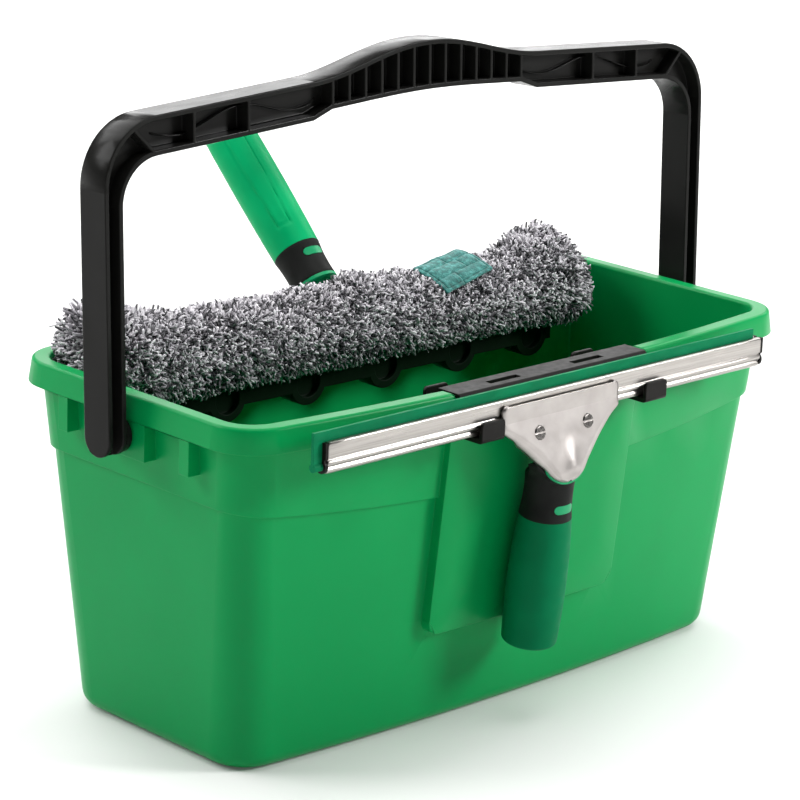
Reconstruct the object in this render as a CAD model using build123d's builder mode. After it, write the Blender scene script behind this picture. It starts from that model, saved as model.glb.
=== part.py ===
# Window cleaning bucket: an oblong tub with a swinging bail handle and a clip on its front rim.
# A squeegee hangs in the clip's hooks, and a strip washer lies in the tub with its handle on the back rim.
# Millimetres. X runs along the tub, -Y is the front, +Z is up, the origin is the bottom centre of the tub.
import os
from math import atan2, cos, radians, sin, sqrt, tan

from build123d import *

os.makedirs("parts", exist_ok=True)

# Clearances
seat_gap = 0.3
running_gap = 0.05
shell_gap = 0.1
lift_spare = 0.02

# Tub
tub_height = 207.0
base_length = 399.0
base_width = 150.0
base_bow = 9.0
base_corner = 27.0
base_edge = 10.0
rim_length = 444.0
rim_width = 199.0
rim_bow = 15.0
rim_corner = 30.0
rim_overhang = 8.7
rim_plate = 3.0
rim_edge = 2.0
skirt_height = 14.0
skirt_flare = 2.0
skirt_wall = 2.6
wall = 3.0
floor = 3.5
band_step = 2.3
shoulder_drop = 49.5
shoulder_dip = 15.0
panel_width = 152.0
panel_bottom = 60.0
panel_proud = 6.5
panel_corner = 9.0
pad_width = 38.0
pad_reach = 30.0
pad_overlap = 1.5
pad_drop = 35.0
rib_width = 8.0
rib_spacing = 104.0
rib_drop = 34.0

# Bail
pivot_drop = 22.5
pivot_radius = 6.0
pivot_collar = 10.0
socket_depth = 10.5
bail_lean = 2.3
bail_width = 21.6
bail_leg = 12.5
bail_gap = 4.8
bail_flange = 3.0
bail_web = 3.0
bail_corner = 38.0
bail_run = 22.0
run_rise = 150.5
run_slope = 0.055
grip_half = 90.0
grip_peak = 195.0
grip_under = 166.5
grip_step = 5.0
grip_step_length = 14.0
grip_ribs = 13
grip_rib_pitch = 12.6
bail_rib = 2.0
flank_ribs = (138.0, 177.0)

# Rim clip
clip_length = 153.0
clip_plate = 3.0
clip_lip = 2.5
clip_lip_drop = 11.0
clip_leg = 2.5
clip_leg_drop = 21.0
clip_slope = 5.0
notch_slope = 3.0
slot_length = 24.0
slot_width = 4.6
slot_spacing = 68.0
hook_width = 18.0
hook_wall = 2.3
hook_floor = 3.0
hook_rise = 8.8
hook_corner = 2.5
back_hook_spacing = 120.0
back_hook_reach = 19.0
back_hook_rise = 16.0

# Squeegee
squeegee_x = -11.5
channel_length = 350.0
channel_depth = 8.4
channel_height = 18.0
channel_waist = 5.4
channel_flat = 9.5
channel_drop = 21.5
blade_thickness = 2.0
blade_bead = 4.6
blade_length = 354.0
blade_rise = 5.6
blade_overhang = 8.0
end_cap = 2.0
jaw_width = 92.0
jaw_plate_thickness = 1.6
jaw_drop = 4.0
jaw_strip = 9.5
jaw_slope = 15.0
jaw_shoulder = 4.0
jaw_neck = 33.0
jaw_reach = 40.5
jaw_hollow = 6.0
jaw_tip_width = 29.0
jaw_corner = 3.0
jaw_border = 1.2
jaw_back_width = 68.0
jaw_back_reach = 16.0
screw_spacing = 39.0
screw_drop = 9.0
screw_radius = 2.5
screw_head = 4.2
screw_head_height = 1.8
screw_edge = 1.0
screw_slot = 1.0
line_depth = 1.4
wrap_wall = 2.0
wrap_drop = 27.0

# Tool handles
core_radius = 12.5
collar_length = 24.0
collar_top = 14.4
collar_waist = 14.0
collar_foot = 15.2
grip_round = 5.0
pole_radius = 10.0
pole_depth = 50.0
inlay_length = 14.0
inlay_height = 5.0
inlay_depth = 1.2
inlay_proud = 0.3

# Squeegee handle
squeegee_grip_radius = 17.2
squeegee_grip_end = 16.0
squeegee_grip_length = 79.0
squeegee_root = 11.0
squeegee_root_radius = 8.0

# Strip washer
washer_x = 2.0
washer_turn = -1.0
washer_lean = 43.0
washer_sink = 19.0
bar_length = 350.0
bar_radius = 14.0
bar_wall = 3.0
keel_width = 16.0
keel_drop = 32.0
cup_count = 6
cup_pitch = 63.0
cup_radius = 14.0
cup_drop = 41.0
cup_rim = 5.0
cup_recess = 4.0
sleeve_radius = 30.0
sleeve_back = 16.5
sleeve_length = 392.0
sleeve_mouth = 30.0
sleeve_round = 8.0
sleeve_clear = 1.0
patch_length = 44.0
patch_arc = 62.0
patch_lean = 28.0
patch_offset = 80.0
patch_thickness = 1.5
neck_radius = 9.0
neck_root = 2.0
neck_flange = 2.0
washer_grip_radius = 16.0
washer_grip_end = 15.4
washer_grip_length = 105.0

# Sizes worked out from the ones above
top_length = rim_length - 2 * rim_overhang
top_width = rim_width - 2 * rim_overhang
top_corner = rim_corner - rim_overhang
skirt_bottom = tub_height - skirt_height
rim_end = rim_length / 2
rim_front = rim_width / 2 + rim_bow
shoulder_height = tub_height - shoulder_drop
pad_bottom = tub_height - pad_drop
rib_bottom = tub_height - rib_drop
pivot_height = tub_height - pivot_drop
channel_bottom = tub_height - channel_drop
body_thickness = channel_depth + jaw_plate_thickness
washer_collar_start = sleeve_radius + sleeve_clear + neck_flange
washer_press_depth = washer_sink + sqrt(sleeve_radius**2 - sleeve_back**2)


def outline(height, length, width, bow, corner):
    # One level outline of the tub, with straight ends and long sides that bow outwards
    with BuildSketch(Plane.XY.offset(height)) as level:
        with BuildLine():
            front = ThreePointArc(
                (-length / 2, -width / 2), (0, -width / 2 - bow), (length / 2, -width / 2)
            )
            right = Line(front @ 1, (length / 2, width / 2))
            back = ThreePointArc(right @ 1, (0, width / 2 + bow), (-length / 2, width / 2))
            Line(back @ 1, front @ 0)
        make_face()
        fillet(level.vertices(), corner)
    return level.sketch


def between(bottom, top, height):
    # A size of the wall that changes evenly from the floor to the rim
    return bottom + (top - bottom) * height / tub_height


def wall_outline(height, grow=0):
    return outline(
        height,
        between(base_length, top_length, height) + 2 * grow,
        between(base_width, top_width, height) + 2 * grow,
        between(base_bow, rim_bow, height),
        between(base_corner, top_corner, height) + grow,
    )


def skirt_outline(height, grow=0):
    inset = skirt_flare * (height - skirt_bottom) / skirt_height - grow
    return outline(
        height, rim_length - 2 * inset, rim_width - 2 * inset, rim_bow, rim_corner - inset
    )


def wall_reach(x, height):
    # Distance from the XZ plane to the outside of a long wall
    half = between(base_length, top_length, height) / 2
    bow = between(base_bow, rim_bow, height)
    radius = (half**2 + bow**2) / (2 * bow)
    return between(base_width, top_width, height) / 2 + sqrt(radius**2 - x**2) - radius + bow


# Blanks of the tub: the raised upper band, the two long panels and the hollow under the rim
with BuildPart() as band:
    loft([wall_outline(shoulder_height - 2 * shoulder_dip, band_step), wall_outline(tub_height, band_step)])
    with BuildSketch(Plane.XZ):
        with BuildLine():
            end = rim_end + 1
            Polyline((-end, shoulder_height), (-end, 0), (end, 0), (end, shoulder_height))
            ThreePointArc(
                (end, shoulder_height), (0, shoulder_height - shoulder_dip), (-end, shoulder_height)
            )
        make_face()
    extrude(amount=rim_width, both=True, mode=Mode.SUBTRACT)

with BuildPart() as panels:
    loft([wall_outline(0, panel_proud), wall_outline(tub_height - rim_plate, panel_proud)])
    with BuildSketch(Plane.XZ) as panel_face:
        with Locations((0, panel_bottom)):
            Rectangle(panel_width, tub_height, align=(Align.CENTER, Align.MIN))
        fillet(panel_face.vertices().group_by(Axis.Y)[0], panel_corner)
    extrude(amount=rim_width, both=True, mode=Mode.INTERSECT)

with BuildPart() as rim_hollow:
    loft([skirt_outline(skirt_bottom, -skirt_wall), skirt_outline(tub_height - rim_plate, -skirt_wall)])
    with Locations((0, -rim_front, skirt_bottom)):
        Box(
            clip_length + 4 * skirt_wall,
            2 * rim_width,
            2 * skirt_height,
            align=(Align.CENTER, Align.CENTER, Align.MIN),
            mode=Mode.SUBTRACT,
        )

with BuildPart() as rim:
    loft([skirt_outline(skirt_bottom), skirt_outline(tub_height)])
    add(rim_hollow.part, mode=Mode.SUBTRACT)

with BuildPart() as cavity:
    loft([wall_outline(floor, -wall), wall_outline(tub_height + rim_plate, -wall)])
    fillet(cavity.faces().sort_by(Axis.Z)[0].edges(), base_edge - wall)

# Tub, with a pivot pad between two ribs under the rim at each end
with BuildPart() as tub:
    loft([wall_outline(0), wall_outline(tub_height)])
    fillet(tub.faces().sort_by(Axis.Z)[0].edges(), base_edge)
    add(band.part)
    add(panels.part)
    add(rim.part)
    for side in (-1, 1):
        for y, width, bottom in (
            (0, pad_width, pad_bottom),
            (-rib_spacing / 2, rib_width, rib_bottom),
            (rib_spacing / 2, rib_width, rib_bottom),
        ):
            with Locations((side * (rim_end - seat_gap - pad_reach / 2), y, bottom)):
                Box(
                    pad_reach,
                    width,
                    skirt_bottom + pad_overlap - bottom,
                    align=(Align.CENTER, Align.CENTER, Align.MIN),
                )
    add(cavity.part, mode=Mode.SUBTRACT)
    fillet(tub.faces().sort_by(Axis.Z)[-1].edges(), rim_edge)
    for side in (-1, 1):
        with Locations(Location((side * rim_end, 0, pivot_height), (0, 90, 0))):
            Cylinder(pivot_radius + running_gap, 2 * socket_depth, mode=Mode.SUBTRACT)
    with BuildSketch(Plane.XZ):
        with BuildLine():
            foot = clip_length / 2 + seat_gap
            Polyline(
                (-foot, tub_height - clip_plate),
                (foot, tub_height - clip_plate),
                (foot + notch_slope, tub_height + rim_plate),
                (-foot - notch_slope, tub_height + rim_plate),
                close=True,
            )
        make_face()
    extrude(amount=rim_width, mode=Mode.SUBTRACT)
tub.part.label = "tub"
export_step(tub.part, "parts/tub.step")

# Bail: an I section that runs up both ends and over the top, ribbed between its flanges
lean = radians(bail_lean)
bail_plane = Plane(origin=(0, 0, pivot_height), x_dir=(1, 0, 0), z_dir=(0, -cos(lean), sin(lean)))
leg_inside = rim_end + bail_gap
leg_outside = leg_inside + bail_leg


def bail_band(plane, inset, foot):
    # The bail seen from the front, drawn in by an inset on every edge but the feet
    outer_end = leg_outside - inset
    inner_end = leg_inside + inset
    top_inner = run_rise + run_slope * (leg_inside - grip_half) + bail_run - inset
    under_inner = run_rise + run_slope * (leg_inside - grip_half) + inset
    top_outer = top_inner - run_slope * (outer_end - grip_half)
    under_outer = under_inner - run_slope * (inner_end - grip_half)
    with BuildSketch(plane) as band_face:
        with BuildLine():
            slope = (1, -run_slope)
            Spline((0, grip_peak - inset), (grip_half, top_inner), tangents=((1, 0), slope))
            FilletPolyline(
                (grip_half, top_inner), (outer_end, top_outer), (outer_end, foot), radius=bail_corner - inset
            )
            Line((outer_end, foot), (inner_end, foot))
            FilletPolyline(
                (inner_end, foot),
                (inner_end, under_outer),
                (grip_half, under_inner),
                radius=bail_corner - bail_leg + inset,
            )
            step_end = (grip_half - grip_step_length, under_inner + grip_step)
            Line((grip_half, under_inner), step_end)
            Spline((0, grip_under + inset), step_end, tangents=((1, 0), slope))
            mirror(about=Plane.YZ)
        make_face()
    return band_face.sketch


with BuildPart() as bail_pockets:
    with BuildSketch(bail_plane.offset(bail_web / 2)):
        add(bail_band(Plane.XY, bail_flange, -bail_width))
        with GridLocations(grip_rib_pitch, 0, grip_ribs, 1):
            Rectangle(bail_rib, 4 * grip_peak, mode=Mode.SUBTRACT)
        for x in flank_ribs:
            with Locations((x, 0), (-x, 0)):
                Rectangle(bail_rib, 4 * grip_peak, mode=Mode.SUBTRACT)
        for side in (-1, 1):
            with Locations(Location((side * (leg_outside - bail_corner), run_rise), -45 * side)):
                Rectangle(bail_rib, 4 * bail_corner, mode=Mode.SUBTRACT)
    extrude(amount=bail_width)
    mirror(about=bail_plane)

with BuildPart() as bail:
    extrude(bail_band(bail_plane, 0, 0), amount=bail_width / 2, both=True)
    for side in (-1, 1):
        with Locations(Location((side * (leg_inside + bail_leg / 2), 0, pivot_height), (0, 90, 0))):
            Cylinder(bail_width / 2, bail_leg)
    add(bail_pockets.part, mode=Mode.SUBTRACT)
    for side in (-1, 1):
        pin_end = rim_end - socket_depth + seat_gap
        collar_end = rim_end + seat_gap
        for radius, end in ((pivot_radius, pin_end), (pivot_collar, collar_end)):
            with Locations(Location((side * (leg_inside + end) / 2, 0, pivot_height), (0, 90, 0))):
                Cylinder(radius, leg_inside - end)
bail.part.label = "bail"
export_step(bail.part, "parts/bail.step")

# Rim clip: a saddle over the front rim, two hooks in front and two inside the tub
lip_inside = -rim_front - seat_gap
lip_outside = lip_inside - clip_lip
leg_drop_height = tub_height - clip_leg_drop
leg_back = -wall_reach(clip_length / 2, leg_drop_height) + wall + seat_gap
leg_front = leg_back + clip_leg
saddle_under = tub_height - clip_plate
lip_bottom = tub_height - clip_lip_drop

# Places of the squeegee's channel, which the hooks are made to
channel_back = lip_outside - jaw_plate_thickness - seat_gap
channel_front = channel_back - channel_depth
jaw_front = channel_front - jaw_plate_thickness
wall_slope = (wall_reach(0, tub_height) - wall_reach(0, 0)) / tub_height
lift_slope = wall_slope + lift_spare
hook_inside = channel_front - seat_gap - lift_slope * hook_rise
hook_top = channel_bottom + hook_rise
hook_x = abs(squeegee_x) + jaw_width / 2 + seat_gap + hook_width / 2

with BuildPart() as tool_clip:
    with BuildSketch(Plane.YZ):
        with BuildLine():
            Polyline(
                (lip_outside, lip_bottom),
                (lip_outside, tub_height - clip_slope),
                (lip_outside + clip_slope, tub_height),
                (leg_front, tub_height),
                (leg_front, leg_drop_height),
                (leg_back, leg_drop_height),
                (leg_back, saddle_under),
                (lip_inside, saddle_under),
                (lip_inside, lip_bottom),
                close=True,
            )
        make_face()
    extrude(amount=clip_length / 2, both=True)
    with Locations((0, (lip_outside + clip_slope + leg_back) / 2, tub_height)):
        with GridLocations(slot_spacing, 0, 2, 1):
            Box(slot_length, slot_width, 2 * clip_plate, mode=Mode.SUBTRACT)
    for x in (-hook_x, hook_x):
        with BuildSketch(Plane.YZ.offset(x)) as hook_face:
            with BuildLine():
                Polyline(
                    (lip_inside, tub_height - clip_slope - seat_gap),
                    (channel_back + seat_gap, tub_height - clip_slope - seat_gap),
                    (channel_back + seat_gap, channel_bottom - seat_gap),
                    (hook_inside, channel_bottom - seat_gap),
                    (hook_inside, hook_top),
                    (hook_inside - hook_wall, hook_top),
                    (hook_inside - hook_wall, channel_bottom - seat_gap - hook_floor),
                    (lip_inside, channel_bottom - seat_gap - hook_floor),
                    close=True,
                )
            make_face()
            fillet(hook_face.vertices().group_by(Axis.Y)[0].sort_by(Axis.X)[0], hook_wall)
        extrude(amount=hook_width / 2, both=True)
    for x in (-back_hook_spacing / 2, back_hook_spacing / 2):
        with BuildSketch(Plane.YZ.offset(x)):
            with BuildLine():
                Polyline(
                    (leg_back, leg_drop_height),
                    (leg_front + back_hook_reach, leg_drop_height),
                    (leg_front + back_hook_reach, leg_drop_height + back_hook_rise),
                    (leg_front + back_hook_reach - hook_wall, leg_drop_height + back_hook_rise),
                    (leg_front + back_hook_reach - hook_wall, leg_drop_height + hook_floor),
                    (leg_front, leg_drop_height + hook_floor),
                    (leg_front, saddle_under),
                    (leg_back, saddle_under),
                    close=True,
                )
            make_face()
        extrude(amount=hook_width / 2, both=True)
    for top in (hook_top, leg_drop_height + back_hook_rise):
        across = tool_clip.edges().filter_by(Axis.Y)
        fillet(across.filter_by_position(Axis.Z, top - shell_gap, top + shell_gap), hook_corner)
tool_clip.part.label = "tool_clip"
export_step(tool_clip.part, "parts/tool_clip.step")

# Squeegee channel: a folded strip with a round bead chamber below and two lips above
channel_mid = (channel_back + channel_front) / 2
channel_top = channel_bottom + channel_height
chamber = channel_bottom + channel_depth / 2
blade_top = channel_top + blade_rise
flat_foot = channel_top - channel_flat


def channel_section(x, inset):
    # The channel seen from its end, with room for the blade and its bead
    with BuildSketch(Plane.YZ.offset(x)) as section:
        with Locations((channel_mid, chamber)):
            Circle(channel_depth / 2 - inset)
            Rectangle(channel_waist, channel_top - chamber - inset, align=(Align.CENTER, Align.MIN))
        with Locations((channel_mid, flat_foot)):
            Rectangle(channel_depth - 2 * inset, channel_flat - inset, align=(Align.CENTER, Align.MIN))
        with Locations((channel_mid, chamber)):
            Circle(blade_bead / 2 + shell_gap, mode=Mode.SUBTRACT)
            Rectangle(
                blade_thickness + 2 * shell_gap,
                channel_height,
                align=(Align.CENTER, Align.MIN),
                mode=Mode.SUBTRACT,
            )
    return section.sketch


with BuildPart() as squeegee_channel:
    extrude(channel_section(squeegee_x, 0), amount=channel_length / 2, both=True)
squeegee_channel.part.label = "squeegee_channel"
export_step(squeegee_channel.part, "parts/squeegee_channel.step")

# Rubber blade with its bead, pushed along so that it stands out of the channel's left end
with BuildPart() as squeegee_rubber:
    blade_x = squeegee_x - channel_length / 2 - blade_overhang + blade_length / 2
    with BuildSketch(Plane.YZ.offset(blade_x)):
        with Locations((channel_mid, chamber)):
            Circle(blade_bead / 2)
            Rectangle(blade_thickness, blade_top - chamber, align=(Align.CENTER, Align.MIN))
    extrude(amount=blade_length / 2, both=True)
squeegee_rubber.part.label = "squeegee_rubber"
export_step(squeegee_rubber.part, "parts/squeegee_rubber.step")

# Thin caps on the channel's two ends
with BuildPart() as channel_end_caps:
    for end in (-1, 1):
        cap_x = squeegee_x + end * (channel_length + end_cap) / 2
        extrude(channel_section(cap_x, seat_gap), amount=end_cap / 2, both=True)
channel_end_caps.part.label = "channel_end_caps"
export_step(channel_end_caps.part, "parts/channel_end_caps.step")

# Jaw plate: a strip on the channel's front, creased, then a fan that slopes out to a round tip
crease = channel_top - jaw_drop - jaw_strip
slope = radians(jaw_slope)
jaw_plane = Plane(
    origin=(squeegee_x, jaw_front, crease), x_dir=(1, 0, 0), z_dir=(0, -cos(slope), sin(slope))
)
screw_places = [(-screw_spacing / 2, -screw_drop), (screw_spacing / 2, -screw_drop)]
body_top = -(crease - channel_bottom + seat_gap) / cos(slope)
body_back = jaw_plate_thickness + body_thickness
body_plane = jaw_plane.offset(-jaw_plate_thickness)
wrap_plane = body_plane.offset(-line_depth)


def jaw_fan(plane):
    half = jaw_width / 2
    tip = jaw_tip_width / 2
    with BuildSketch(plane) as fan:
        with BuildLine():
            Polyline((-half, -jaw_shoulder), (-half, 0), (half, 0), (half, -jaw_shoulder))
            SagittaArc((half, -jaw_shoulder), (tip, -jaw_neck), -jaw_hollow)
            ThreePointArc((tip, -jaw_neck), (0, -jaw_reach), (-tip, -jaw_neck))
            SagittaArc((-tip, -jaw_neck), (-half, -jaw_shoulder), -jaw_hollow)
        make_face()
    return fan.sketch


def body_outline(plane, grow, top):
    # The handle's body behind the jaw plate, cut off level at a top edge
    with BuildSketch(plane) as body:
        add(jaw_fan(Plane.XY))
        offset(amount=grow)
        with Locations((0, top)):
            Rectangle(jaw_width, jaw_width, align=(Align.CENTER, Align.MAX), mode=Mode.INTERSECT)
    return body.sketch


with BuildPart() as jaw_plate:
    with BuildSketch(Plane.XZ.offset(-jaw_front)) as strip:
        with Locations((squeegee_x, crease + jaw_strip)):
            Rectangle(jaw_width, jaw_strip + jaw_plate_thickness, align=(Align.CENTER, Align.MAX))
        fillet(strip.vertices().group_by(Axis.Y)[-1], jaw_corner)
    extrude(amount=-jaw_plate_thickness)
    extrude(jaw_fan(jaw_plane), amount=-jaw_plate_thickness)
    with BuildSketch(jaw_plane):
        with Locations(screw_places):
            Circle(screw_radius + shell_gap)
    extrude(amount=-2 * jaw_plate_thickness, mode=Mode.SUBTRACT)
jaw_plate.part.label = "jaw_plate"
export_step(jaw_plate.part, "parts/jaw_plate.step")

# Back jaw: a strip behind the channel that bends to follow the handle's body
with BuildPart() as jaw_back:
    with BuildSketch(Plane.XZ.offset(-channel_back)):
        with Locations((squeegee_x, channel_top - jaw_drop)):
            Rectangle(jaw_back_width, channel_height, align=(Align.CENTER, Align.MAX))
    extrude(amount=-jaw_plate_thickness)
    with BuildSketch(jaw_plane.offset(-body_back)):
        add(body_outline(Plane.XY, -wrap_wall, body_top))
        with Locations((0, body_top)):
            Rectangle(
                jaw_back_width, jaw_back_reach, align=(Align.CENTER, Align.MAX), mode=Mode.INTERSECT
            )
    extrude(amount=-jaw_plate_thickness)
    with BuildSketch(jaw_plane):
        with Locations(screw_places):
            Circle(screw_radius + shell_gap)
    extrude(amount=-2 * body_back, mode=Mode.SUBTRACT)
jaw_back.part.label = "jaw_back"
export_step(jaw_back.part, "parts/jaw_back.step")

# Slotted screws through both jaws
with BuildPart() as jaw_screws:
    with BuildSketch(jaw_plane):
        with Locations(screw_places):
            Circle(screw_head)
    extrude(amount=screw_head_height)
    fillet(jaw_screws.faces().sort_by(Axis((0, 0, 0), jaw_plane.z_dir))[-2:].edges(), screw_edge)
    with BuildSketch(jaw_plane):
        with Locations(screw_places):
            Circle(screw_radius)
    extrude(amount=-body_back - jaw_plate_thickness)
    with BuildSketch(jaw_plane.offset(screw_head_height)):
        with Locations(screw_places):
            Rectangle(3 * screw_head, screw_slot)
    extrude(amount=-screw_slot, mode=Mode.SUBTRACT)
jaw_screws.part.label = "jaw_screws"
export_step(jaw_screws.part, "parts/jaw_screws.step")


def collar_ring(plane, start, inside, grow):
    # Half section of a waisted collar, drawn with the handle's axis along the plane's Y
    foot = start + collar_length
    with BuildSketch(plane) as ring:
        with BuildLine():
            Polyline((collar_foot + grow, foot), (inside, foot), (inside, start), (collar_top + grow, start))
            ThreePointArc(
                (collar_top + grow, start),
                (collar_waist + grow, start + collar_length / 3),
                (collar_foot + grow, foot),
            )
        make_face()
    return ring.sketch


def grip_ring(plane, start, length, middle_radius, end_radius):
    # Half section of a barrel-shaped grip with a rounded free end
    with BuildSketch(plane) as ring:
        with BuildLine():
            inside = core_radius + shell_gap
            end = start + length
            Polyline((end_radius, end), (inside, end), (inside, start), (collar_foot, start))
            ThreePointArc((collar_foot, start), (middle_radius, start + length / 2), (end_radius, end))
        make_face()
        fillet(ring.vertices().sort_by(SortBy.DISTANCE)[-1:], grip_round / 2)
    return ring.sketch


# Squeegee handle: its tilt lets the grip rest on the tub's front panel
tip_height = crease - jaw_reach * cos(slope)
tip_back = jaw_front - jaw_reach * sin(slope) + jaw_plate_thickness
handle_y = tip_back + collar_waist + seat_gap
squeegee_end = collar_length + squeegee_grip_length
rest_height = max(panel_bottom, tip_height - squeegee_end)
panel_y = -wall_reach(squeegee_x, rest_height) - panel_proud
rest_y = panel_y - seat_gap - squeegee_grip_radius
tilt = atan2(rest_y - handle_y, tip_height - rest_height)
handle_plane = Plane(
    origin=(squeegee_x, handle_y, tip_height), x_dir=(1, 0, 0), z_dir=(0, cos(tilt), sin(tilt))
)
handle_axis = Axis(handle_plane.origin, handle_plane.y_dir)

with BuildPart() as squeegee_core:
    extrude(body_outline(body_plane, -wrap_wall, body_top), amount=-body_thickness)
    extrude(body_outline(body_plane, jaw_border, -wrap_drop), amount=-line_depth)
    with BuildSketch(handle_plane):
        with BuildLine():
            Polyline(
                (0, -squeegee_root),
                (squeegee_root_radius, -squeegee_root),
                (core_radius, 0),
                (core_radius, squeegee_end),
                (pole_radius, squeegee_end),
                (pole_radius, squeegee_end - pole_depth),
                (0, squeegee_end - pole_depth),
                close=True,
            )
        make_face()
    revolve(axis=handle_axis)
    with BuildSketch(jaw_plane):
        with Locations(screw_places):
            Circle(screw_radius + shell_gap)
    extrude(amount=-2 * body_back, mode=Mode.SUBTRACT)
squeegee_core.part.label = "squeegee_core"
export_step(squeegee_core.part, "parts/squeegee_core.step")

with BuildPart() as squeegee_inlay:
    revolve(collar_ring(handle_plane, 0, collar_waist - inlay_depth, inlay_proud), axis=handle_axis)
    with BuildSketch(handle_plane):
        with Locations((0, collar_length * 2 / 3)):
            SlotOverall(inlay_length, inlay_height)
    extrude(amount=-2 * collar_foot, mode=Mode.INTERSECT)
squeegee_inlay.part.label = "squeegee_inlay"
export_step(squeegee_inlay.part, "parts/squeegee_inlay.step")

# Dark wrap round the body's tip, which leaves a thin line of the core showing along the jaw
with BuildPart() as squeegee_wrap:
    extrude(body_outline(wrap_plane, jaw_border, -wrap_drop), amount=line_depth - body_thickness)
    add(squeegee_core.part, mode=Mode.SUBTRACT)
squeegee_wrap.part.label = "squeegee_wrap"
export_step(squeegee_wrap.part, "parts/squeegee_wrap.step")

with BuildPart() as squeegee_collar:
    revolve(collar_ring(handle_plane, 0, core_radius + shell_gap, 0), axis=handle_axis)
    add(squeegee_core.part, mode=Mode.SUBTRACT)
    add(squeegee_wrap.part, mode=Mode.SUBTRACT)
    add(squeegee_inlay.part, mode=Mode.SUBTRACT)
squeegee_collar.part.label = "squeegee_collar"
export_step(squeegee_collar.part, "parts/squeegee_collar.step")

with BuildPart() as squeegee_grip:
    revolve(
        grip_ring(
            handle_plane, collar_length, squeegee_grip_length, squeegee_grip_radius, squeegee_grip_end
        ),
        axis=handle_axis,
    )
squeegee_grip.part.label = "squeegee_grip"
export_step(squeegee_grip.part, "parts/squeegee_grip.step")

# Place of the washer: the sleeve's left end presses on the back wall, and the handle lies on the back rim
turn = radians(washer_turn)
rise = radians(washer_lean)
sleeve_end = sleeve_length / 2 - sleeve_round
wall_inside = wall_reach(sleeve_end - washer_x, tub_height - washer_press_depth) - wall
washer_y = wall_inside - seat_gap - sleeve_back - sleeve_end * abs(sin(turn))
rim_inside = wall_reach(washer_x, tub_height) - wall + rim_edge
contact = collar_top + seat_gap + rim_edge
axis_y = rim_inside - contact * sin(rise) - washer_y
washer_z = tub_height - rim_edge + contact * cos(rise) - axis_y * tan(rise)
bar_dir = Vector(cos(turn), sin(turn), 0)
back_dir = Vector(-sin(turn), cos(turn), 0)
bar_centre = Vector(washer_x, washer_y, washer_z)
neck_dir = back_dir * cos(rise) + Vector(0, 0, sin(rise))
section_plane = Plane(origin=bar_centre, x_dir=back_dir, z_dir=bar_dir)
front_plane = Plane(origin=bar_centre, x_dir=bar_dir, z_dir=-back_dir)
neck_plane = Plane(origin=bar_centre, x_dir=bar_dir, z_dir=neck_dir)
washer_plane = Plane(origin=bar_centre, x_dir=bar_dir, z_dir=bar_dir.cross(neck_dir))
washer_axis = Axis(bar_centre, neck_dir)
washer_grip_start = washer_collar_start + collar_length
washer_end = washer_grip_start + washer_grip_length

# Washer bar: a tube with a keel below it that carries a row of water cups
with BuildPart() as washer_bar:
    with BuildSketch(section_plane):
        Circle(bar_radius)
        Circle(bar_radius - bar_wall, mode=Mode.SUBTRACT)
        with Locations((0, bar_wall - bar_radius)):
            Rectangle(keel_width, keel_drop + bar_wall - bar_radius, align=(Align.CENTER, Align.MAX))
    extrude(amount=bar_length / 2, both=True)
    with BuildSketch(front_plane):
        with Locations((0, cup_radius - cup_drop)):
            with GridLocations(cup_pitch, 0, cup_count, 1):
                Circle(cup_radius)
    extrude(amount=keel_width / 2, both=True)
    with BuildSketch(front_plane.offset(keel_width / 2)):
        with Locations((0, cup_radius - cup_drop)):
            with GridLocations(cup_pitch, 0, cup_count, 1):
                Circle(cup_radius - cup_rim)
    extrude(amount=-cup_recess, mode=Mode.SUBTRACT)
    with BuildSketch(neck_plane):
        Circle(neck_radius + shell_gap)
    extrude(amount=2 * bar_radius, mode=Mode.SUBTRACT)
washer_bar.part.label = "washer_bar"
export_step(washer_bar.part, "parts/washer_bar.step")

# Sleeve: a fleece tube with closed ends, open below for the keel and flattened by the back wall
with BuildPart() as washer_sleeve:
    with BuildSketch(section_plane):
        Circle(sleeve_radius)
        with Locations((sleeve_back, 0)):
            Rectangle(
                2 * sleeve_radius,
                2 * sleeve_radius,
                align=(Align.MAX, Align.CENTER),
                mode=Mode.INTERSECT,
            )
    extrude(amount=sleeve_length / 2, both=True)
    along = Axis(bar_centre, bar_dir)
    fillet(washer_sleeve.faces().sort_by(along)[0].edges(), sleeve_round)
    fillet(washer_sleeve.faces().sort_by(along)[-1].edges(), sleeve_round)
    with BuildSketch(section_plane):
        Circle(bar_radius + shell_gap)
        Rectangle(sleeve_mouth, 2 * sleeve_radius, align=(Align.CENTER, Align.MAX))
    extrude(amount=bar_length / 2 + seat_gap, both=True, mode=Mode.SUBTRACT)
    with BuildSketch(neck_plane):
        Circle(neck_radius + seat_gap)
    extrude(amount=2 * sleeve_radius, mode=Mode.SUBTRACT)
washer_sleeve.part.label = "washer_sleeve"
export_step(washer_sleeve.part, "parts/washer_sleeve.step")

# Scrub patch on the sleeve's upper front
with BuildPart() as sleeve_patch:
    with BuildSketch(section_plane.offset(patch_offset)):
        with BuildLine():
            first = 90 + patch_lean - patch_arc / 2
            inner = CenterArc((0, 0), sleeve_radius, first, patch_arc)
            outer = CenterArc((0, 0), sleeve_radius + patch_thickness, first, patch_arc)
            Line(inner @ 0, outer @ 0)
            Line(inner @ 1, outer @ 1)
        make_face()
    extrude(amount=patch_length / 2, both=True)
sleeve_patch.part.label = "sleeve_patch"
export_step(sleeve_patch.part, "parts/sleeve_patch.step")

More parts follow.
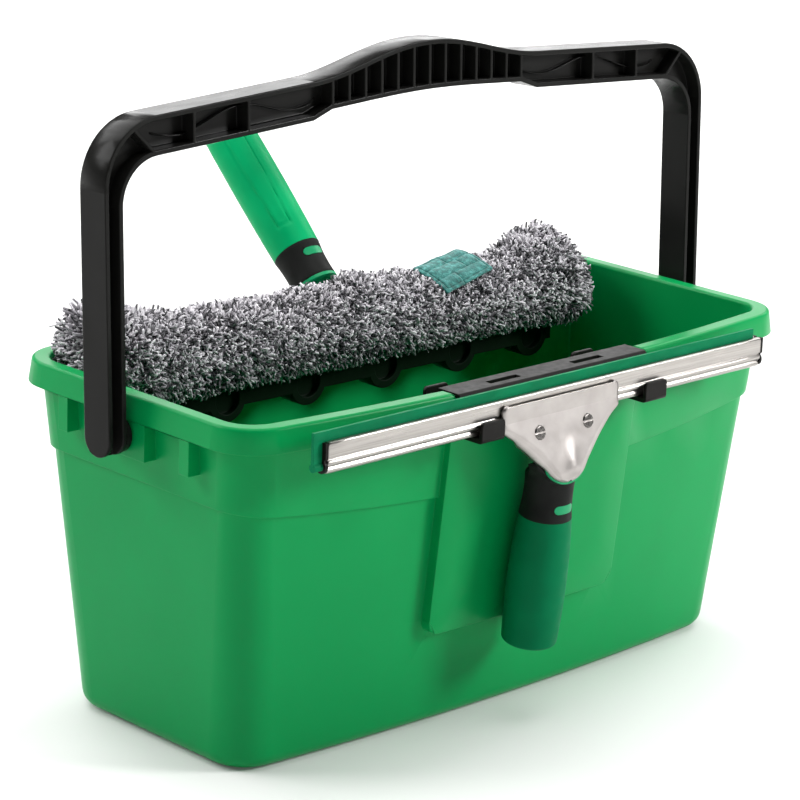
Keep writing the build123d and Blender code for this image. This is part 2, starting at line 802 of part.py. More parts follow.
# Washer handle
with BuildPart() as washer_core:
    with BuildSketch(washer_plane):
        with BuildLine():
            Polyline(
                (0, neck_root),
                (neck_radius, neck_root),
                (neck_radius, washer_collar_start - neck_flange),
                (collar_top, washer_collar_start - neck_flange),
                (collar_top, washer_collar_start),
                (core_radius, washer_collar_start),
                (core_radius, washer_end),
                (pole_radius, washer_end),
                (pole_radius, washer_end - pole_depth),
                (0, washer_end - pole_depth),
                close=True,
            )
        make_face()
    revolve(axis=washer_axis)
washer_core.part.label = "washer_core"
export_step(washer_core.part, "parts/washer_core.step")

with BuildPart() as washer_inlay:
    revolve(
        collar_ring(washer_plane, washer_collar_start, collar_waist - inlay_depth, inlay_proud),
        axis=washer_axis,
    )
    with BuildSketch(washer_plane):
        with Locations((0, washer_collar_start + collar_length * 2 / 3)):
            SlotOverall(inlay_length, inlay_height)
    extrude(amount=2 * collar_foot, mode=Mode.INTERSECT)
washer_inlay.part.label = "washer_inlay"
export_step(washer_inlay.part, "parts/washer_inlay.step")

with BuildPart() as washer_collar:
    revolve(collar_ring(washer_plane, washer_collar_start, core_radius + shell_gap, 0), axis=washer_axis)
    add(washer_inlay.part, mode=Mode.SUBTRACT)
washer_collar.part.label = "washer_collar"
export_step(washer_collar.part, "parts/washer_collar.step")

with BuildPart() as washer_grip:
    revolve(
        grip_ring(
            washer_plane, washer_grip_start, washer_grip_length, washer_grip_radius, washer_grip_end
        ),
        axis=washer_axis,
    )
washer_grip.part.label = "washer_grip"
export_step(washer_grip.part, "parts/washer_grip.step")
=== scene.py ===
from math import acos, atan2, cos, exp, hypot, pi, radians, sin, sqrt

import bmesh
import bpy
from mathutils import Matrix, Vector, noise


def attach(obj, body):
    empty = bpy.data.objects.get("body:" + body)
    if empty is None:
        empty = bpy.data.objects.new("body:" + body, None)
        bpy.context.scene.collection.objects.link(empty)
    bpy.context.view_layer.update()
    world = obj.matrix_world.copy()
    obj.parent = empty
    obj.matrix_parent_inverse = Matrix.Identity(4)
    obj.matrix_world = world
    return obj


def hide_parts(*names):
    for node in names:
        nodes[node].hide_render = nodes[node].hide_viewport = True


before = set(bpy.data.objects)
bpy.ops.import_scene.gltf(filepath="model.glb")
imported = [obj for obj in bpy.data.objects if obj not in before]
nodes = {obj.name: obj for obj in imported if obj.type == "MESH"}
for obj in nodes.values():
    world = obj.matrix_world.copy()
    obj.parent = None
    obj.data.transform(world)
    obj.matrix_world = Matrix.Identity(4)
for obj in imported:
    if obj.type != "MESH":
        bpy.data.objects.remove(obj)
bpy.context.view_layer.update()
scene = bpy.context.scene
mm = 0.001


def hexToLinear(value):
    channels = [int(value[i:i + 2], 16) / 255 for i in (1, 3, 5)]
    return [c / 12.92 if c <= 0.04045 else ((c + 0.055) / 1.055) ** 2.4 for c in channels] + [1.0]


# Adds one node to a tree: settings are its properties, or a ramp's stops as places with a hex colour or a grey level,
# and inputs are values, sockets, or nodes whose first output is meant
def addNode(tree, kind, settings=None, inputs=None):
    node = tree.nodes.new(kind)
    for name, value in (settings or {}).items():
        if name != "stops":
            setattr(node, name, value)
            continue
        elements = node.color_ramp.elements
        while len(elements) < len(value):
            elements.new(0.5)
        for element, (place, tone) in zip(elements, value):
            element.position = place
            element.color = hexToLinear(tone) if isinstance(tone, str) else (tone, tone, tone, 1.0)
    for key, value in (inputs or {}).items():
        if isinstance(value, bpy.types.Node):
            value = value.outputs[0]
        if isinstance(value, bpy.types.NodeSocket):
            tree.links.new(value, node.inputs[key])
        else:
            node.inputs[key].default_value = value
    return node


# A material whose tone, gloss and relief each waver with a grain of noise on Object coordinates. A grain's size is in
# millimetres, one for all axes or one for each, and so is a relief's depth
def makeFinish(name, values, tone=None, gloss=None, relief=None):
    material = bpy.data.materials.new(name)
    material.use_nodes = True
    tree = material.node_tree
    tree.nodes.clear()
    shader = addNode(tree, "ShaderNodeBsdfPrincipled", None, values)
    addNode(tree, "ShaderNodeOutputMaterial", None, {"Surface": shader})
    for socket, grain in (("Base Color", tone), ("Roughness", gloss), ("Normal", relief)):
        if not grain:
            continue
        sizes = grain["size"] if isinstance(grain["size"], tuple) else (grain["size"],) * 3
        place = addNode(tree, "ShaderNodeTexCoord").outputs["Object"]
        scaled = addNode(tree, "ShaderNodeMapping", None, {"Vector": place, "Scale": [1 / mm / size for size in sizes]})
        cloud = addNode(tree, "ShaderNodeTexNoise", None, {
            "Vector": scaled, "Scale": 1.0, "Detail": grain.get("detail", 2.0), "Roughness": grain.get("rough", 0.5),
        })
        if "stops" in grain:
            last = addNode(tree, "ShaderNodeValToRGB", {"stops": grain["stops"]}, {"Fac": cloud})
        else:
            last = addNode(tree, "ShaderNodeBump", None, {
                "Height": cloud, "Distance": grain["depth"] * mm, "Strength": grain.get("strength", 1.0),
            })
        tree.links.new(last.outputs[0], shader.inputs[socket])
    return material


# Puts a finished mesh in the scene as a piece on a body
def ridePiece(name, mesh, body):
    piece = bpy.data.objects.new(name, mesh)
    scene.collection.objects.link(piece)
    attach(piece, body)
    return piece


# A smooth mesh piece from points and faces, its normals turned outwards unless they are right already
def makePiece(name, vertices, faces, material, body, recalc=True):
    mesh = bpy.data.meshes.new(name)
    mesh.from_pydata(vertices, [], faces)
    if recalc:
        work = bmesh.new()
        work.from_mesh(mesh)
        bmesh.ops.remove_doubles(work, verts=work.verts, dist=1e-6)
        bmesh.ops.recalc_face_normals(work, faces=work.faces)
        work.to_mesh(mesh)
        work.free()
    for polygon in mesh.polygons:
        polygon.use_smooth = True
    mesh.materials.append(material)
    return ridePiece(name, mesh, body)


# Gives a sheet its thickness, inwards from its outer face
def thicken(piece, depth):
    wall = piece.modifiers.new("thickness", "SOLIDIFY")
    wall.thickness = depth * mm
    wall.offset = -1


# Starts a Geometry Nodes tree with named inputs and gives it with their sockets
def startTree(name, inputs):
    tree = bpy.data.node_groups.new(name, "GeometryNodeTree")
    for label, kind in {"Geometry": "Geometry", **inputs}.items():
        tree.interface.new_socket(label, in_out="INPUT", socket_type="NodeSocket" + kind)
    tree.interface.new_socket("Geometry", in_out="OUTPUT", socket_type="NodeSocketGeometry")
    return tree, addNode(tree, "NodeGroupInput").outputs


# Ends a tree: its instances are made real and get their material
def endTree(tree, instances, material):
    realized = addNode(tree, "GeometryNodeRealizeInstances", None, {0: instances})
    dyed = addNode(tree, "GeometryNodeSetMaterial", None, {"Geometry": realized, "Material": material})
    addNode(tree, "NodeGroupOutput", None, {0: dyed})


# Runs a tree on a mesh, its inputs set by their identifiers, and keeps the result as a plain mesh piece
def growPiece(name, ground, tree, values, body):
    carrier = bpy.data.objects.new(ground.name, ground)
    modifier = carrier.modifiers.new(tree.name, "NODES")
    modifier.node_group = tree
    for item in tree.interface.items_tree:
        if item.item_type == "SOCKET" and item.in_out == "INPUT" and item.name in values:
            modifier[item.identifier] = values[item.name]
    scene.collection.objects.link(carrier)
    bpy.context.view_layer.update()
    grown = carrier.evaluated_get(bpy.context.evaluated_depsgraph_get())
    mesh = bpy.data.meshes.new_from_object(grown)
    mesh.name = name
    bpy.data.objects.remove(carrier)
    return ridePiece(name, mesh, body)


def gridFaces(rows, columns, closed=False):
    faces = []
    for i in range(rows - 1):
        for j in range(columns if closed else columns - 1):
            k = (j + 1) % columns
            faces.append((i * columns + j, i * columns + k, (i + 1) * columns + k, (i + 1) * columns + j))
    return faces


# A tube's faces, with a cap on each end
def tubeFaces(rings, columns):
    caps = [tuple(range(columns)), tuple(range((rings - 1) * columns, rings * columns))]
    return gridFaces(rings, columns, closed=True) + caps


def smoothStep(low, high, value):
    t = min(max((value - low) / (high - low), 0.0), 1.0)
    return t * t * (3 - 2 * t)


# Materials
# Injection-moulded polypropylene: even green, a soft gloss that wavers a little, and faint flow marks
tubPlastic = makeFinish(
    "polypropyleneGreen", {"IOR": 1.49, "Specular IOR Level": 0.12},
    tone={"size": (120, 120, 160), "detail": 3.0, "stops": [(0.3, "#008846"), (0.7, "#00924C")]},
    gloss={"size": (35, 35, 50), "detail": 4.0, "stops": [(0.3, 0.3), (0.75, 0.38)]},
    relief={"size": 1.6, "depth": 0.015, "strength": 0.4},
)
# Black polypropylene: near black, satin, with the long soft waves of a cooled thick moulding
bailPlastic = makeFinish(
    "polypropyleneBlack", {"IOR": 1.49, "Specular IOR Level": 0.07},
    tone={"size": 60, "stops": [(0.3, "#171716"), (0.7, "#1F1F1E")]},
    gloss={"size": (25, 12, 25), "detail": 3.0, "stops": [(0.3, 0.18), (0.7, 0.27)]},
    relief={"size": (9, 5, 9), "depth": 0.06, "strength": 0.5},
)
# Glass-filled nylon: warm black with a fine dry grain
clipPlastic = makeFinish(
    "nylonBlack", {"IOR": 1.53, "Specular IOR Level": 0.1},
    tone={"size": 20, "stops": [(0.3, "#100E0D"), (0.7, "#161412")]},
    gloss={"size": 4, "detail": 3.0, "stops": [(0.3, 0.4), (0.7, 0.5)]},
    relief={"size": 1.2, "depth": 0.03, "strength": 0.6},
)
# Washer bar's polypropylene: near black, with painted shade and a painted deep green tint that stand in for the green
# light bounced off the tub's walls, as the bar hangs out of the direct light
barPlasticPaintedShade = makeFinish(
    "polypropyleneBlackPaintedGreenShade", {"IOR": 1.49, "Specular IOR Level": 0.08},
    tone={"size": 40, "stops": [(0.3, "#020F05"), (0.7, "#041508")]},
    gloss={"size": 6, "detail": 3.0, "stops": [(0.3, 0.45), (0.7, 0.55)]},
    relief={"size": 1.4, "depth": 0.03, "strength": 0.6},
)
# Rolled stainless sheet: bright, drawn along its length, with fine lines that soften reflections
drawnLines = {"size": (60, 0.9, 0.9), "detail": 4.0, "rough": 0.7}
steel = makeFinish(
    "stainlessSheet", {"Metallic": 1.0},
    tone={**drawnLines, "stops": [(0.25, "#908C89"), (0.75, "#AFABA6")]},
    gloss={"size": (30, 1.4, 1.4), "detail": 4.0, "rough": 0.7, "stops": [(0.3, 0.25), (0.75, 0.4)]},
    relief={**drawnLines, "depth": 0.012, "strength": 0.6},
)
# Tumbled stainless sheet of the jaw: satin, with a fine even grain and no direction
satinSteel = makeFinish(
    "stainlessSatin", {"Metallic": 1.0},
    tone={"size": 14, "detail": 3.0, "stops": [(0.3, "#9D9895"), (0.7, "#AAA5A2")]},
    gloss={"size": 5, "detail": 4.0, "rough": 0.7, "stops": [(0.3, 0.33), (0.7, 0.4)]},
    relief={"size": 0.5, "depth": 0.008, "strength": 0.5},
)
# Turned stainless of the screws: darker than the sheet round it
screwSteel = makeFinish(
    "stainlessTurned", {"Metallic": 1.0},
    tone={"size": 3, "detail": 3.0, "stops": [(0.3, "#5F5C5A"), (0.7, "#787572")]},
    gloss={"size": 2, "detail": 3.0, "stops": [(0.3, 0.2), (0.7, 0.32)]},
)
# Natural rubber blade: green, dull, ground smooth
bladeRubber = makeFinish(
    "rubberGreen", {"IOR": 1.52, "Specular IOR Level": 0.06},
    tone={"size": (18, 6, 6), "stops": [(0.3, "#006A43"), (0.7, "#01774C")]},
    gloss={"size": (8, 3, 3), "detail": 3.0, "stops": [(0.3, 0.42), (0.7, 0.6)]},
    relief={"size": 1.0, "depth": 0.02, "strength": 0.5},
)
# Soft-touch elastomer on the collars: charcoal, nearly matt, finely eroded
collarRubber = makeFinish(
    "elastomerCharcoal", {"IOR": 1.5, "Specular IOR Level": 0.09},
    tone={"size": 16, "stops": [(0.3, "#151615"), (0.7, "#1E1F1E")]},
    gloss={"size": 5, "detail": 3.0, "stops": [(0.3, 0.5), (0.7, 0.66)]},
    relief={"size": 0.9, "depth": 0.03, "strength": 0.8},
)
# ABS of the handle's core and inlays: clear green, satin
handlePlastic = makeFinish(
    "absGreen", {"IOR": 1.54, "Specular IOR Level": 0.25},
    tone={"size": 20, "stops": [(0.3, "#008C58"), (0.7, "#029A62")]},
    gloss={"size": 6, "detail": 3.0, "stops": [(0.3, 0.32), (0.7, 0.45)]},
    relief={"size": 1.2, "depth": 0.02, "strength": 0.5},
)
# Overmoulded elastomer grips: the squeegee's is duller and darker, the washer's fresher and smoother
squeegeeGripRubber, washerGripRubber = [
    makeFinish(
        name, {"IOR": 1.5, "Specular IOR Level": 0.05},
        tone={"size": 25, "stops": [(0.3, dark), (0.7, light)]},
        gloss={"size": 7, "detail": 3.0, "stops": [(0.3, smooth), (0.7, dull)]},
        relief={"size": 0.9, "depth": 0.03, "strength": 0.7},
    )
    for name, dark, light, smooth, dull in (
        ("elastomerDeepGreen", "#006840", "#007247", 0.46, 0.62),
        ("elastomerFreshGreen", "#009A5E", "#02A666", 0.34, 0.5),
    )
]

# Microfibre pile: every tuft has its own tone from white to charcoal, and no gloss
fleece = makeFinish("microfibrePile", {"Roughness": 0.85, "Sheen Weight": 0.25, "Sheen Roughness": 0.5})
tree = fleece.node_tree
tuftTone = addNode(tree, "ShaderNodeAttribute", {"attribute_name": "tone"}).outputs["Fac"]
dye = addNode(tree, "ShaderNodeValToRGB", {"stops": [
    (0.0, "#1C1C1F"), (0.25, "#444348"), (0.42, "#9C999F"), (0.7, "#D0CCD2"), (1.0, "#EEEBEF"),
]}, {"Fac": tuftTone})
tree.links.new(dye.outputs[0], tree.nodes["Principled BSDF"].inputs["Base Color"])

# Knitted backing of the pile: dark grey, seen only between tufts
backing = makeFinish(
    "knitBacking", {"Roughness": 0.95},
    tone={"size": 1.5, "detail": 3.0, "stops": [(0.3, "#2B2B2E"), (0.7, "#5C5B5F")]},
    relief={"size": 1.5, "detail": 3.0, "depth": 0.5},
)
# Woven hem tape: black with a ribbed weave across it, its ribs drawn 1 mm wide so that they show
tapeRib = 1.0
hemTape = makeFinish("wovenTape", {"Roughness": 0.8})
tree = hemTape.node_tree
shader = tree.nodes["Principled BSDF"]
weave = addNode(tree, "ShaderNodeTexWave", {"wave_type": "BANDS", "bands_direction": "X"}, {
    "Vector": addNode(tree, "ShaderNodeTexCoord").outputs["Object"],
    "Scale": pi / (20 * tapeRib * mm), "Distortion": 0.6,  # the texture has 20 radians to a unit
})
dye = addNode(tree, "ShaderNodeValToRGB", {"stops": [(0.2, "#0E0F10"), (0.8, "#1E2021")]}, {"Fac": weave})
ribs = addNode(tree, "ShaderNodeBump", None, {"Height": weave, "Distance": 0.15 * mm, "Strength": 1.0})
tree.links.new(dye.outputs[0], shader.inputs["Base Color"])
tree.links.new(ribs.outputs[0], shader.inputs["Normal"])

# Abrasive scrub fabric: teal, mottled where its coarse fibres lie up or down
patchFabric = makeFinish(
    "scrubFabric", {"Roughness": 0.75, "Sheen Weight": 0.2},
    tone={
        "size": 3.2, "detail": 4.0, "rough": 0.65,
        "stops": [(0.34, "#06514C"), (0.5, "#146D67"), (0.68, "#4B9B95")],
    },
    relief={"size": 1.1, "detail": 3.0, "rough": 0.7, "depth": 0.35},
)
# Polyester thread: the patch's teal, a little darker and smoother
patchThread = makeFinish(
    "polyesterThread", {"Roughness": 0.6}, tone={"size": 1.0, "stops": [(0.3, "#08443F"), (0.7, "#0E5B55")]},
)
# Back-lit acrylic table under the object: matt white, with a glow that rises where the lamps no longer reach it
floorSize = 8.0  # metres from the middle to an edge
board = makeFinish(
    "lightTable", {"Roughness": 0.7, "Emission Color": (1.0, 1.0, 1.0, 1.0), "Specular IOR Level": 0.1},
    tone={"size": 400, "stops": [(0.3, "#E3E3E2"), (0.7, "#E7E7E6")]},
)
tree = board.node_tree
place = addNode(tree, "ShaderNodeTexCoord").outputs["Object"]
away = addNode(tree, "ShaderNodeVectorMath", {"operation": "LENGTH"}, {0: place}).outputs["Value"]
share = addNode(tree, "ShaderNodeMath", {"operation": "DIVIDE"}, {0: away, 1: floorSize})
glow = addNode(tree, "ShaderNodeValToRGB", {"stops": [(0.15, 0.06), (0.28, 0.5), (0.42, 0.95)]}, {"Fac": share})
tree.links.new(glow.outputs[0], tree.nodes["Principled BSDF"].inputs["Emission Strength"])

looks = {
    "tub": tubPlastic, "bail": bailPlastic, "tool_clip": clipPlastic, "squeegee_channel": steel,
    "jaw_plate": satinSteel, "jaw_back": satinSteel, "jaw_screws": screwSteel, "squeegee_rubber": bladeRubber,
    "channel_end_caps": clipPlastic, "squeegee_core": handlePlastic, "squeegee_inlay": handlePlastic,
    "washer_core": handlePlastic, "washer_inlay": handlePlastic, "squeegee_wrap": collarRubber,
    "squeegee_collar": collarRubber, "washer_collar": collarRubber, "washer_bar": barPlasticPaintedShade,
    "squeegee_grip": squeegeeGripRubber, "washer_grip": washerGripRubber, "washer_sleeve": backing,
    "sleeve_patch": patchFabric,
}
for name, material in looks.items():
    nodes[name].material_slots[0].material = material
print("materials on", len(looks), "nodes")

# Moulded edges: each CAD node that shows gets a small round along its sharp edges, in millimetres
edgeRounds = {
    "tub": 0.45, "bail": 0.7, "tool_clip": 0.5, "squeegee_core": 0.3, "washer_collar": 0.3, "washer_bar": 0.5,
    "jaw_back": 0.3, "squeegee_rubber": 0.2,
}
sharpAngle = radians(32)
for name, width in edgeRounds.items():
    weld = nodes[name].modifiers.new("weld", "WELD")
    weld.merge_threshold = 1e-6
    bevel = nodes[name].modifiers.new("edgeRound", "BEVEL")
    bevel.width = width * mm
    bevel.segments = 2
    bevel.limit_method = "ANGLE"
    bevel.angle_limit = sharpAngle
    bevel.use_clamp_overlap = False
    bevel.harden_normals = True
print("edges rounded on", len(edgeRounds), "nodes")

# The washer's frame: along its bar, back to the wall, and up
washer = {"centre": (2.0, 67.361, 192.923), "turn": -1.0, "lean": 43.0}
barTurn = radians(washer["turn"])
neckLean = radians(washer["lean"])
barCentre = Vector(washer["centre"])
alongBar = Vector((cos(barTurn), sin(barTurn), 0))
toBack = Vector((-sin(barTurn), cos(barTurn), 0))
upward = Vector((0, 0, 1))
neckDir = toBack * cos(neckLean) + upward * sin(neckLean)


def onWasher(along, back, up):
    return (barCentre + alongBar * along + toBack * back + upward * up) * mm


# Sleeve: a slack tube of pile fabric round the bar, open below, with closed rounded ends
sleeve = {
    "radius": 25.5, "left": -193.0, "right": 184.0, "endRound": 14.0, "endPinch": 1.25, "flat": 14.6, "wall": 3.5,
    "frontHem": 210.0, "backHem": -58.0, "hemDrop": 14.0, "dropSpan": (135, 175),
    "lump": 1.8, "lumpLength": 38.0, "settle": 6.5, "rightRise": 14.0, "rightSpan": (130, 176),
    "leftRise": 14.5, "leftSpan": (-115, -200), "bunch": 6.0, "bunchAt": 7.0, "bunchWidth": 9.0,
    "slant": 5.0, "slantSpan": (120, 185), "rows": 150, "columns": 44,
}


# A point of the sleeve's skin: share runs 0 to 1 round from the front hem over the top, place runs -1 to 1 along
def sleevePoint(place, share):
    middle = (sleeve["left"] + sleeve["right"]) / 2
    core = (sleeve["right"] - sleeve["left"]) / 2 - sleeve["endRound"]
    along = place * (core + sleeve["endRound"] * pi / 2)
    shrink = 1.0
    if abs(along) > core:
        angle = min((abs(along) - core) / sleeve["endRound"], pi / 2)
        along = (core + sleeve["endRound"] * sin(angle)) * (1 if along > 0 else -1)
        shrink = 1 - (sleeve["endRound"] / sleeve["radius"]) * (1 - cos(angle)) * sleeve["endPinch"]
    # The front hem hangs lower by the right end
    frontHem = sleeve["frontHem"] + sleeve["hemDrop"] * smoothStep(*sleeve["dropSpan"], along + middle)
    angle = radians(frontHem + (sleeve["backHem"] - frontHem) * share)
    lump = sleeve["lump"] * noise.noise(Vector((along / sleeve["lumpLength"], cos(angle) * 0.9, sin(angle) * 0.9 + 7)))
    radius = (sleeve["radius"] + lump) * shrink
    back = min(radius * cos(angle), sleeve["flat"] - abs(lump) * 0.3)
    up = radius * sin(angle)
    along += middle
    # Fuller ends, as it was pulled on, with a settled back between, bunched up beside the neck
    plump = smoothStep(*sleeve["rightSpan"], along) * sleeve["rightRise"]
    plump += smoothStep(*sleeve["leftSpan"], along) * sleeve["leftRise"]
    plump -= sleeve["settle"]
    plump += sleeve["bunch"] * exp(-((along - sleeve["bunchAt"]) / sleeve["bunchWidth"]) ** 2)
    up += plump * smoothStep(-10, 20, up) * shrink
    if along > middle:  # the right end slants: its top stands further in than its front
        along -= sleeve["slant"] * smoothStep(-5, 30, up) * smoothStep(*sleeve["slantSpan"], along)
    return along, back, up


patch = {
    "along": 84.8, "length": 43.5, "width": 30.1, "seat": (-8.36, 27.3), "lean": 17.1, "turn": 8.1, "bend": 55.0,
    "rise": 0.11, "thick": 1.8, "corner": 1.0, "inset": 2.2, "lines": (0.34, 0.67), "cross": 0.5,
    "shifts": (0.0, 0.17, -0.12), "press": 0.75, "pressWidth": 0.55, "puff": 0.6, "puffWidth": 3.5,
    "edgeDrop": 1.1, "edgeWidth": 1.2, "wave": 0.8, "columns": 72, "rows": 56,
}
patchTurn = radians(patch["turn"])
patchFlat = radians(90 + patch["lean"])  # where round the sleeve the patch lies


# How far a spot of the skin lies outside the patch's outline: below 0 is under it
def outsidePatch(along, across):
    x = (along - patch["along"]) * cos(patchTurn) - across * sin(patchTurn)
    y = (along - patch["along"]) * sin(patchTurn) + across * cos(patchTurn)
    return max(abs(x) - patch["length"] / 2, abs(y) - patch["width"] / 2)


# Pile: three-sided tufts scattered over the skin, bent and wriggling, leaning together in clumps
pile = {
    "pieces": 10, "perSquareMm": 1.2, "length": 7.0, "root": 0.58, "tip": 0.82, "bend": 4.2, "wriggle": 1.5,
    "clump": 6.0, "clumpLean": 2.4, "stray": 0.6, "sag": 0.15, "fan": 0.9, "seed": 5, "least": 0.12,
    "neckSpan": (9, 18), "underPatch": (-6, -4), "besidePatch": (-1, 6), "shortest": 0.6, "hemSpan": (0.5, 5),
    "hemHang": 6.0, "wallAt": 11.0, "pressed": 0.2, "freed": 0.6, "frontThin": 0.4, "endSpan": (160, 186),
    "endLonger": 0.5, "combLonger": 0.3, "combLeft": -0.8, "combRight": 0.5, "combSplit": 60.0, "shade": 0.55,
}


# How long the pile is there, 0 where none shows, how far the tufts fan out past the ends, and how dark they are. The
# spans are distances along, behind and above the bar's middle, in millimetres
def pileAt(along, back, up):
    length = 1.0
    spot, neckWay = Vector((0, back, up)), Vector((0, cos(neckLean), sin(neckLean)))
    if back > 0 and up > 0:  # none where the neck comes through
        length *= smoothStep(*pile["neckSpan"], hypot(along, (spot - neckWay * spot.dot(neckWay)).length))
    angle = atan2(up, back) + (2 * pi if back < 0 and up < 0 else 0)
    toPatch = outsidePatch(along, (angle - patchFlat) * hypot(back, up))
    length *= smoothStep(*pile["underPatch"], toPatch)  # none under the patch, short beside it
    length *= pile["shortest"] + (1 - pile["shortest"]) * smoothStep(*pile["besidePatch"], toPatch)
    toHem = (radians(sleeve["frontHem"]) - angle) * sleeve["radius"]
    length *= smoothStep(*pile["hemSpan"], toHem + pile["hemHang"] * smoothStep(*sleeve["dropSpan"], along))
    if back > pile["wallAt"]:  # pressed flat by the tub's wall
        length *= pile["pressed"] + pile["freed"] * smoothStep(5, 24, up)
    if back < 0:
        length *= 1 - pile["frontThin"] * smoothStep(-4, -13, up)
    ends = smoothStep(*pile["endSpan"], abs(along))
    combWay = pile["combLeft"] if along < pile["combSplit"] else pile["combRight"]
    comb = smoothStep(12, 24, up) * smoothStep(-6, 8, back) * combWay  # brushed aside along its back
    length *= 1 + pile["endLonger"] * ends + pile["combLonger"] * abs(comb)
    # Painted shade: the tufts' tone is darkened towards the front hem, where the sleeve hangs in shade
    shade = pile["shade"] * smoothStep(8, -12, up) * smoothStep(5, -10, back)  # darker towards its front hem
    return length, ends * (1 if along > 0 else -1) + comb, shade


def sleeveGrid(first, last):
    vertices, spots = [], []
    for i in range(first, last + 1):
        for j in range(sleeve["columns"] + 1):
            along, back, up = sleevePoint(2 * i / sleeve["rows"] - 1, j / sleeve["columns"])
            vertices.append(onWasher(along, back, up))
            spots.append(pileAt(along, back, up))
    faces = [tuple(reversed(face)) for face in gridFaces(last - first + 1, sleeve["columns"] + 1)]
    return vertices, faces, spots


vertices, faces, spots = sleeveGrid(0, sleeve["rows"])
skin = makePiece("sleeveBacking", vertices, faces, backing, "washer", recalc=False)
thicken(skin, sleeve["wall"])
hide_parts("washer_sleeve")
print("sleeve backing", len(vertices), "points")

pileTree, given = startTree("pileTufts", {
    "Density": "Float", "Length": "Float", "Root": "Float", "Tip": "Float", "Bend": "Float", "Wriggle": "Float",
    "Clump": "Float", "Clump Lean": "Float", "Stray": "Float", "Sag": "Float", "Fan": "Float", "Seed": "Int",
    "Material": "Material",
})
# One tuft, standing on its root, bending to one side and wriggling to the other as it rises
rod = addNode(pileTree, "GeometryNodeMeshCone", {"fill_type": "NGON"}, {
    "Vertices": 3, "Side Segments": 4, "Radius Top": given["Tip"], "Radius Bottom": given["Root"],
    "Depth": given["Length"],
})
inTuft = addNode(pileTree, "ShaderNodeSeparateXYZ", None, {0: addNode(pileTree, "GeometryNodeInputPosition")})
rise = addNode(pileTree, "ShaderNodeMath", {"operation": "DIVIDE"}, {0: inTuft.outputs[2], 1: given["Length"]})
curl = addNode(pileTree, "ShaderNodeMath", {"operation": "POWER"}, {0: rise, 1: 2.0})
bending = addNode(pileTree, "ShaderNodeMath", {"operation": "MULTIPLY"}, {0: curl, 1: given["Bend"]})
wind = addNode(pileTree, "ShaderNodeMath", {"operation": "MULTIPLY"}, {0: rise, 1: 2 * pi})
swing = addNode(pileTree, "ShaderNodeMath", {"operation": "SINE"}, {0: wind})
wriggling = addNode(pileTree, "ShaderNodeMath", {"operation": "MULTIPLY"}, {0: swing, 1: given["Wriggle"]})
shift = addNode(pileTree, "ShaderNodeCombineXYZ", None, {0: bending, 1: wriggling})
bent = addNode(pileTree, "GeometryNodeSetPosition", None, {"Geometry": rod, "Offset": shift})
tuft = addNode(pileTree, "GeometryNodeSetShadeSmooth", None, {0: bent})
# Where tufts stand: wherever the pile has a length
pileHere, fanHere, shadeHere = [
    addNode(pileTree, "GeometryNodeInputNamedAttribute", {"data_type": "FLOAT"}, {"Name": name})
    for name in ("pile", "fan", "shade")
]
grows = addNode(pileTree, "FunctionNodeCompare", {"data_type": "FLOAT", "operation": "GREATER_THAN"}, {
    0: pileHere, 1: pile["least"],
})
thickly = addNode(pileTree, "ShaderNodeMath", {"operation": "MULTIPLY"}, {0: grows, 1: given["Density"]})
roots = addNode(pileTree, "GeometryNodeDistributePointsOnFaces", {"distribute_method": "RANDOM"}, {
    "Mesh": given["Geometry"], "Density": thickly, "Seed": given["Seed"],
})
# Which way they lean: the skin's normal, the clump's own lean, a stray part, sag and the fan at the ends
spot = addNode(pileTree, "GeometryNodeInputPosition")
perClump = addNode(pileTree, "ShaderNodeMath", {"operation": "DIVIDE"}, {0: 1.0, 1: given["Clump"]})
clumps = addNode(pileTree, "ShaderNodeTexNoise", None, {"Vector": spot, "Scale": perClump, "Detail": 1.0})
centred = addNode(pileTree, "ShaderNodeVectorMath", {"operation": "SUBTRACT"}, {
    0: clumps.outputs["Color"], 1: (0.5, 0.5, 0.5),
})
leaning = addNode(pileTree, "ShaderNodeVectorMath", {"operation": "SCALE"}, {0: centred, "Scale": given["Clump Lean"]})
double = addNode(pileTree, "ShaderNodeVectorMath", {"operation": "SCALE"}, {0: leaning, "Scale": 2.0})
stray = addNode(pileTree, "FunctionNodeRandomValue", {"data_type": "FLOAT_VECTOR"}, {
    0: (-1, -1, -1), 1: (1, 1, 1), 8: given["Seed"],
})
straying = addNode(pileTree, "ShaderNodeVectorMath", {"operation": "SCALE"}, {0: stray, "Scale": given["Stray"]})
sagging = addNode(pileTree, "ShaderNodeVectorMath", {"operation": "SCALE"}, {0: (0, 0, -1), "Scale": given["Sag"]})
fanOut = addNode(pileTree, "ShaderNodeMath", {"operation": "MULTIPLY"}, {0: fanHere, 1: given["Fan"]})
fanning = addNode(pileTree, "ShaderNodeVectorMath", {"operation": "SCALE"}, {0: tuple(alongBar), "Scale": fanOut})
way = roots.outputs["Normal"]
for part in (double, straying, sagging, fanning):
    way = addNode(pileTree, "ShaderNodeVectorMath", {"operation": "ADD"}, {0: way, 1: part})
# Each tuft is turned about itself and differs in height, as its clump does
spin = addNode(pileTree, "FunctionNodeRandomValue", {"data_type": "FLOAT"}, {2: 0.0, 3: 2 * pi, 8: 3}).outputs[1]
spun = addNode(pileTree, "ShaderNodeCombineXYZ", None, {2: spin})
turned = addNode(pileTree, "FunctionNodeEulerToRotation", None, {0: spun})
aimed = addNode(pileTree, "FunctionNodeAlignRotationToVector", {"axis": "Z"}, {"Rotation": turned, "Vector": way})
size = addNode(pileTree, "FunctionNodeRandomValue", {"data_type": "FLOAT"}, {2: 0.5, 3: 1.0, 8: 9}).outputs[1]
taller = addNode(pileTree, "ShaderNodeMath", {"operation": "ADD"}, {0: size, 1: clumps})
sized = addNode(pileTree, "ShaderNodeMath", {"operation": "MULTIPLY"}, {0: taller, 1: pileHere})
stretch = addNode(pileTree, "ShaderNodeCombineXYZ", None, {0: 1.0, 1: 1.0, 2: sized})
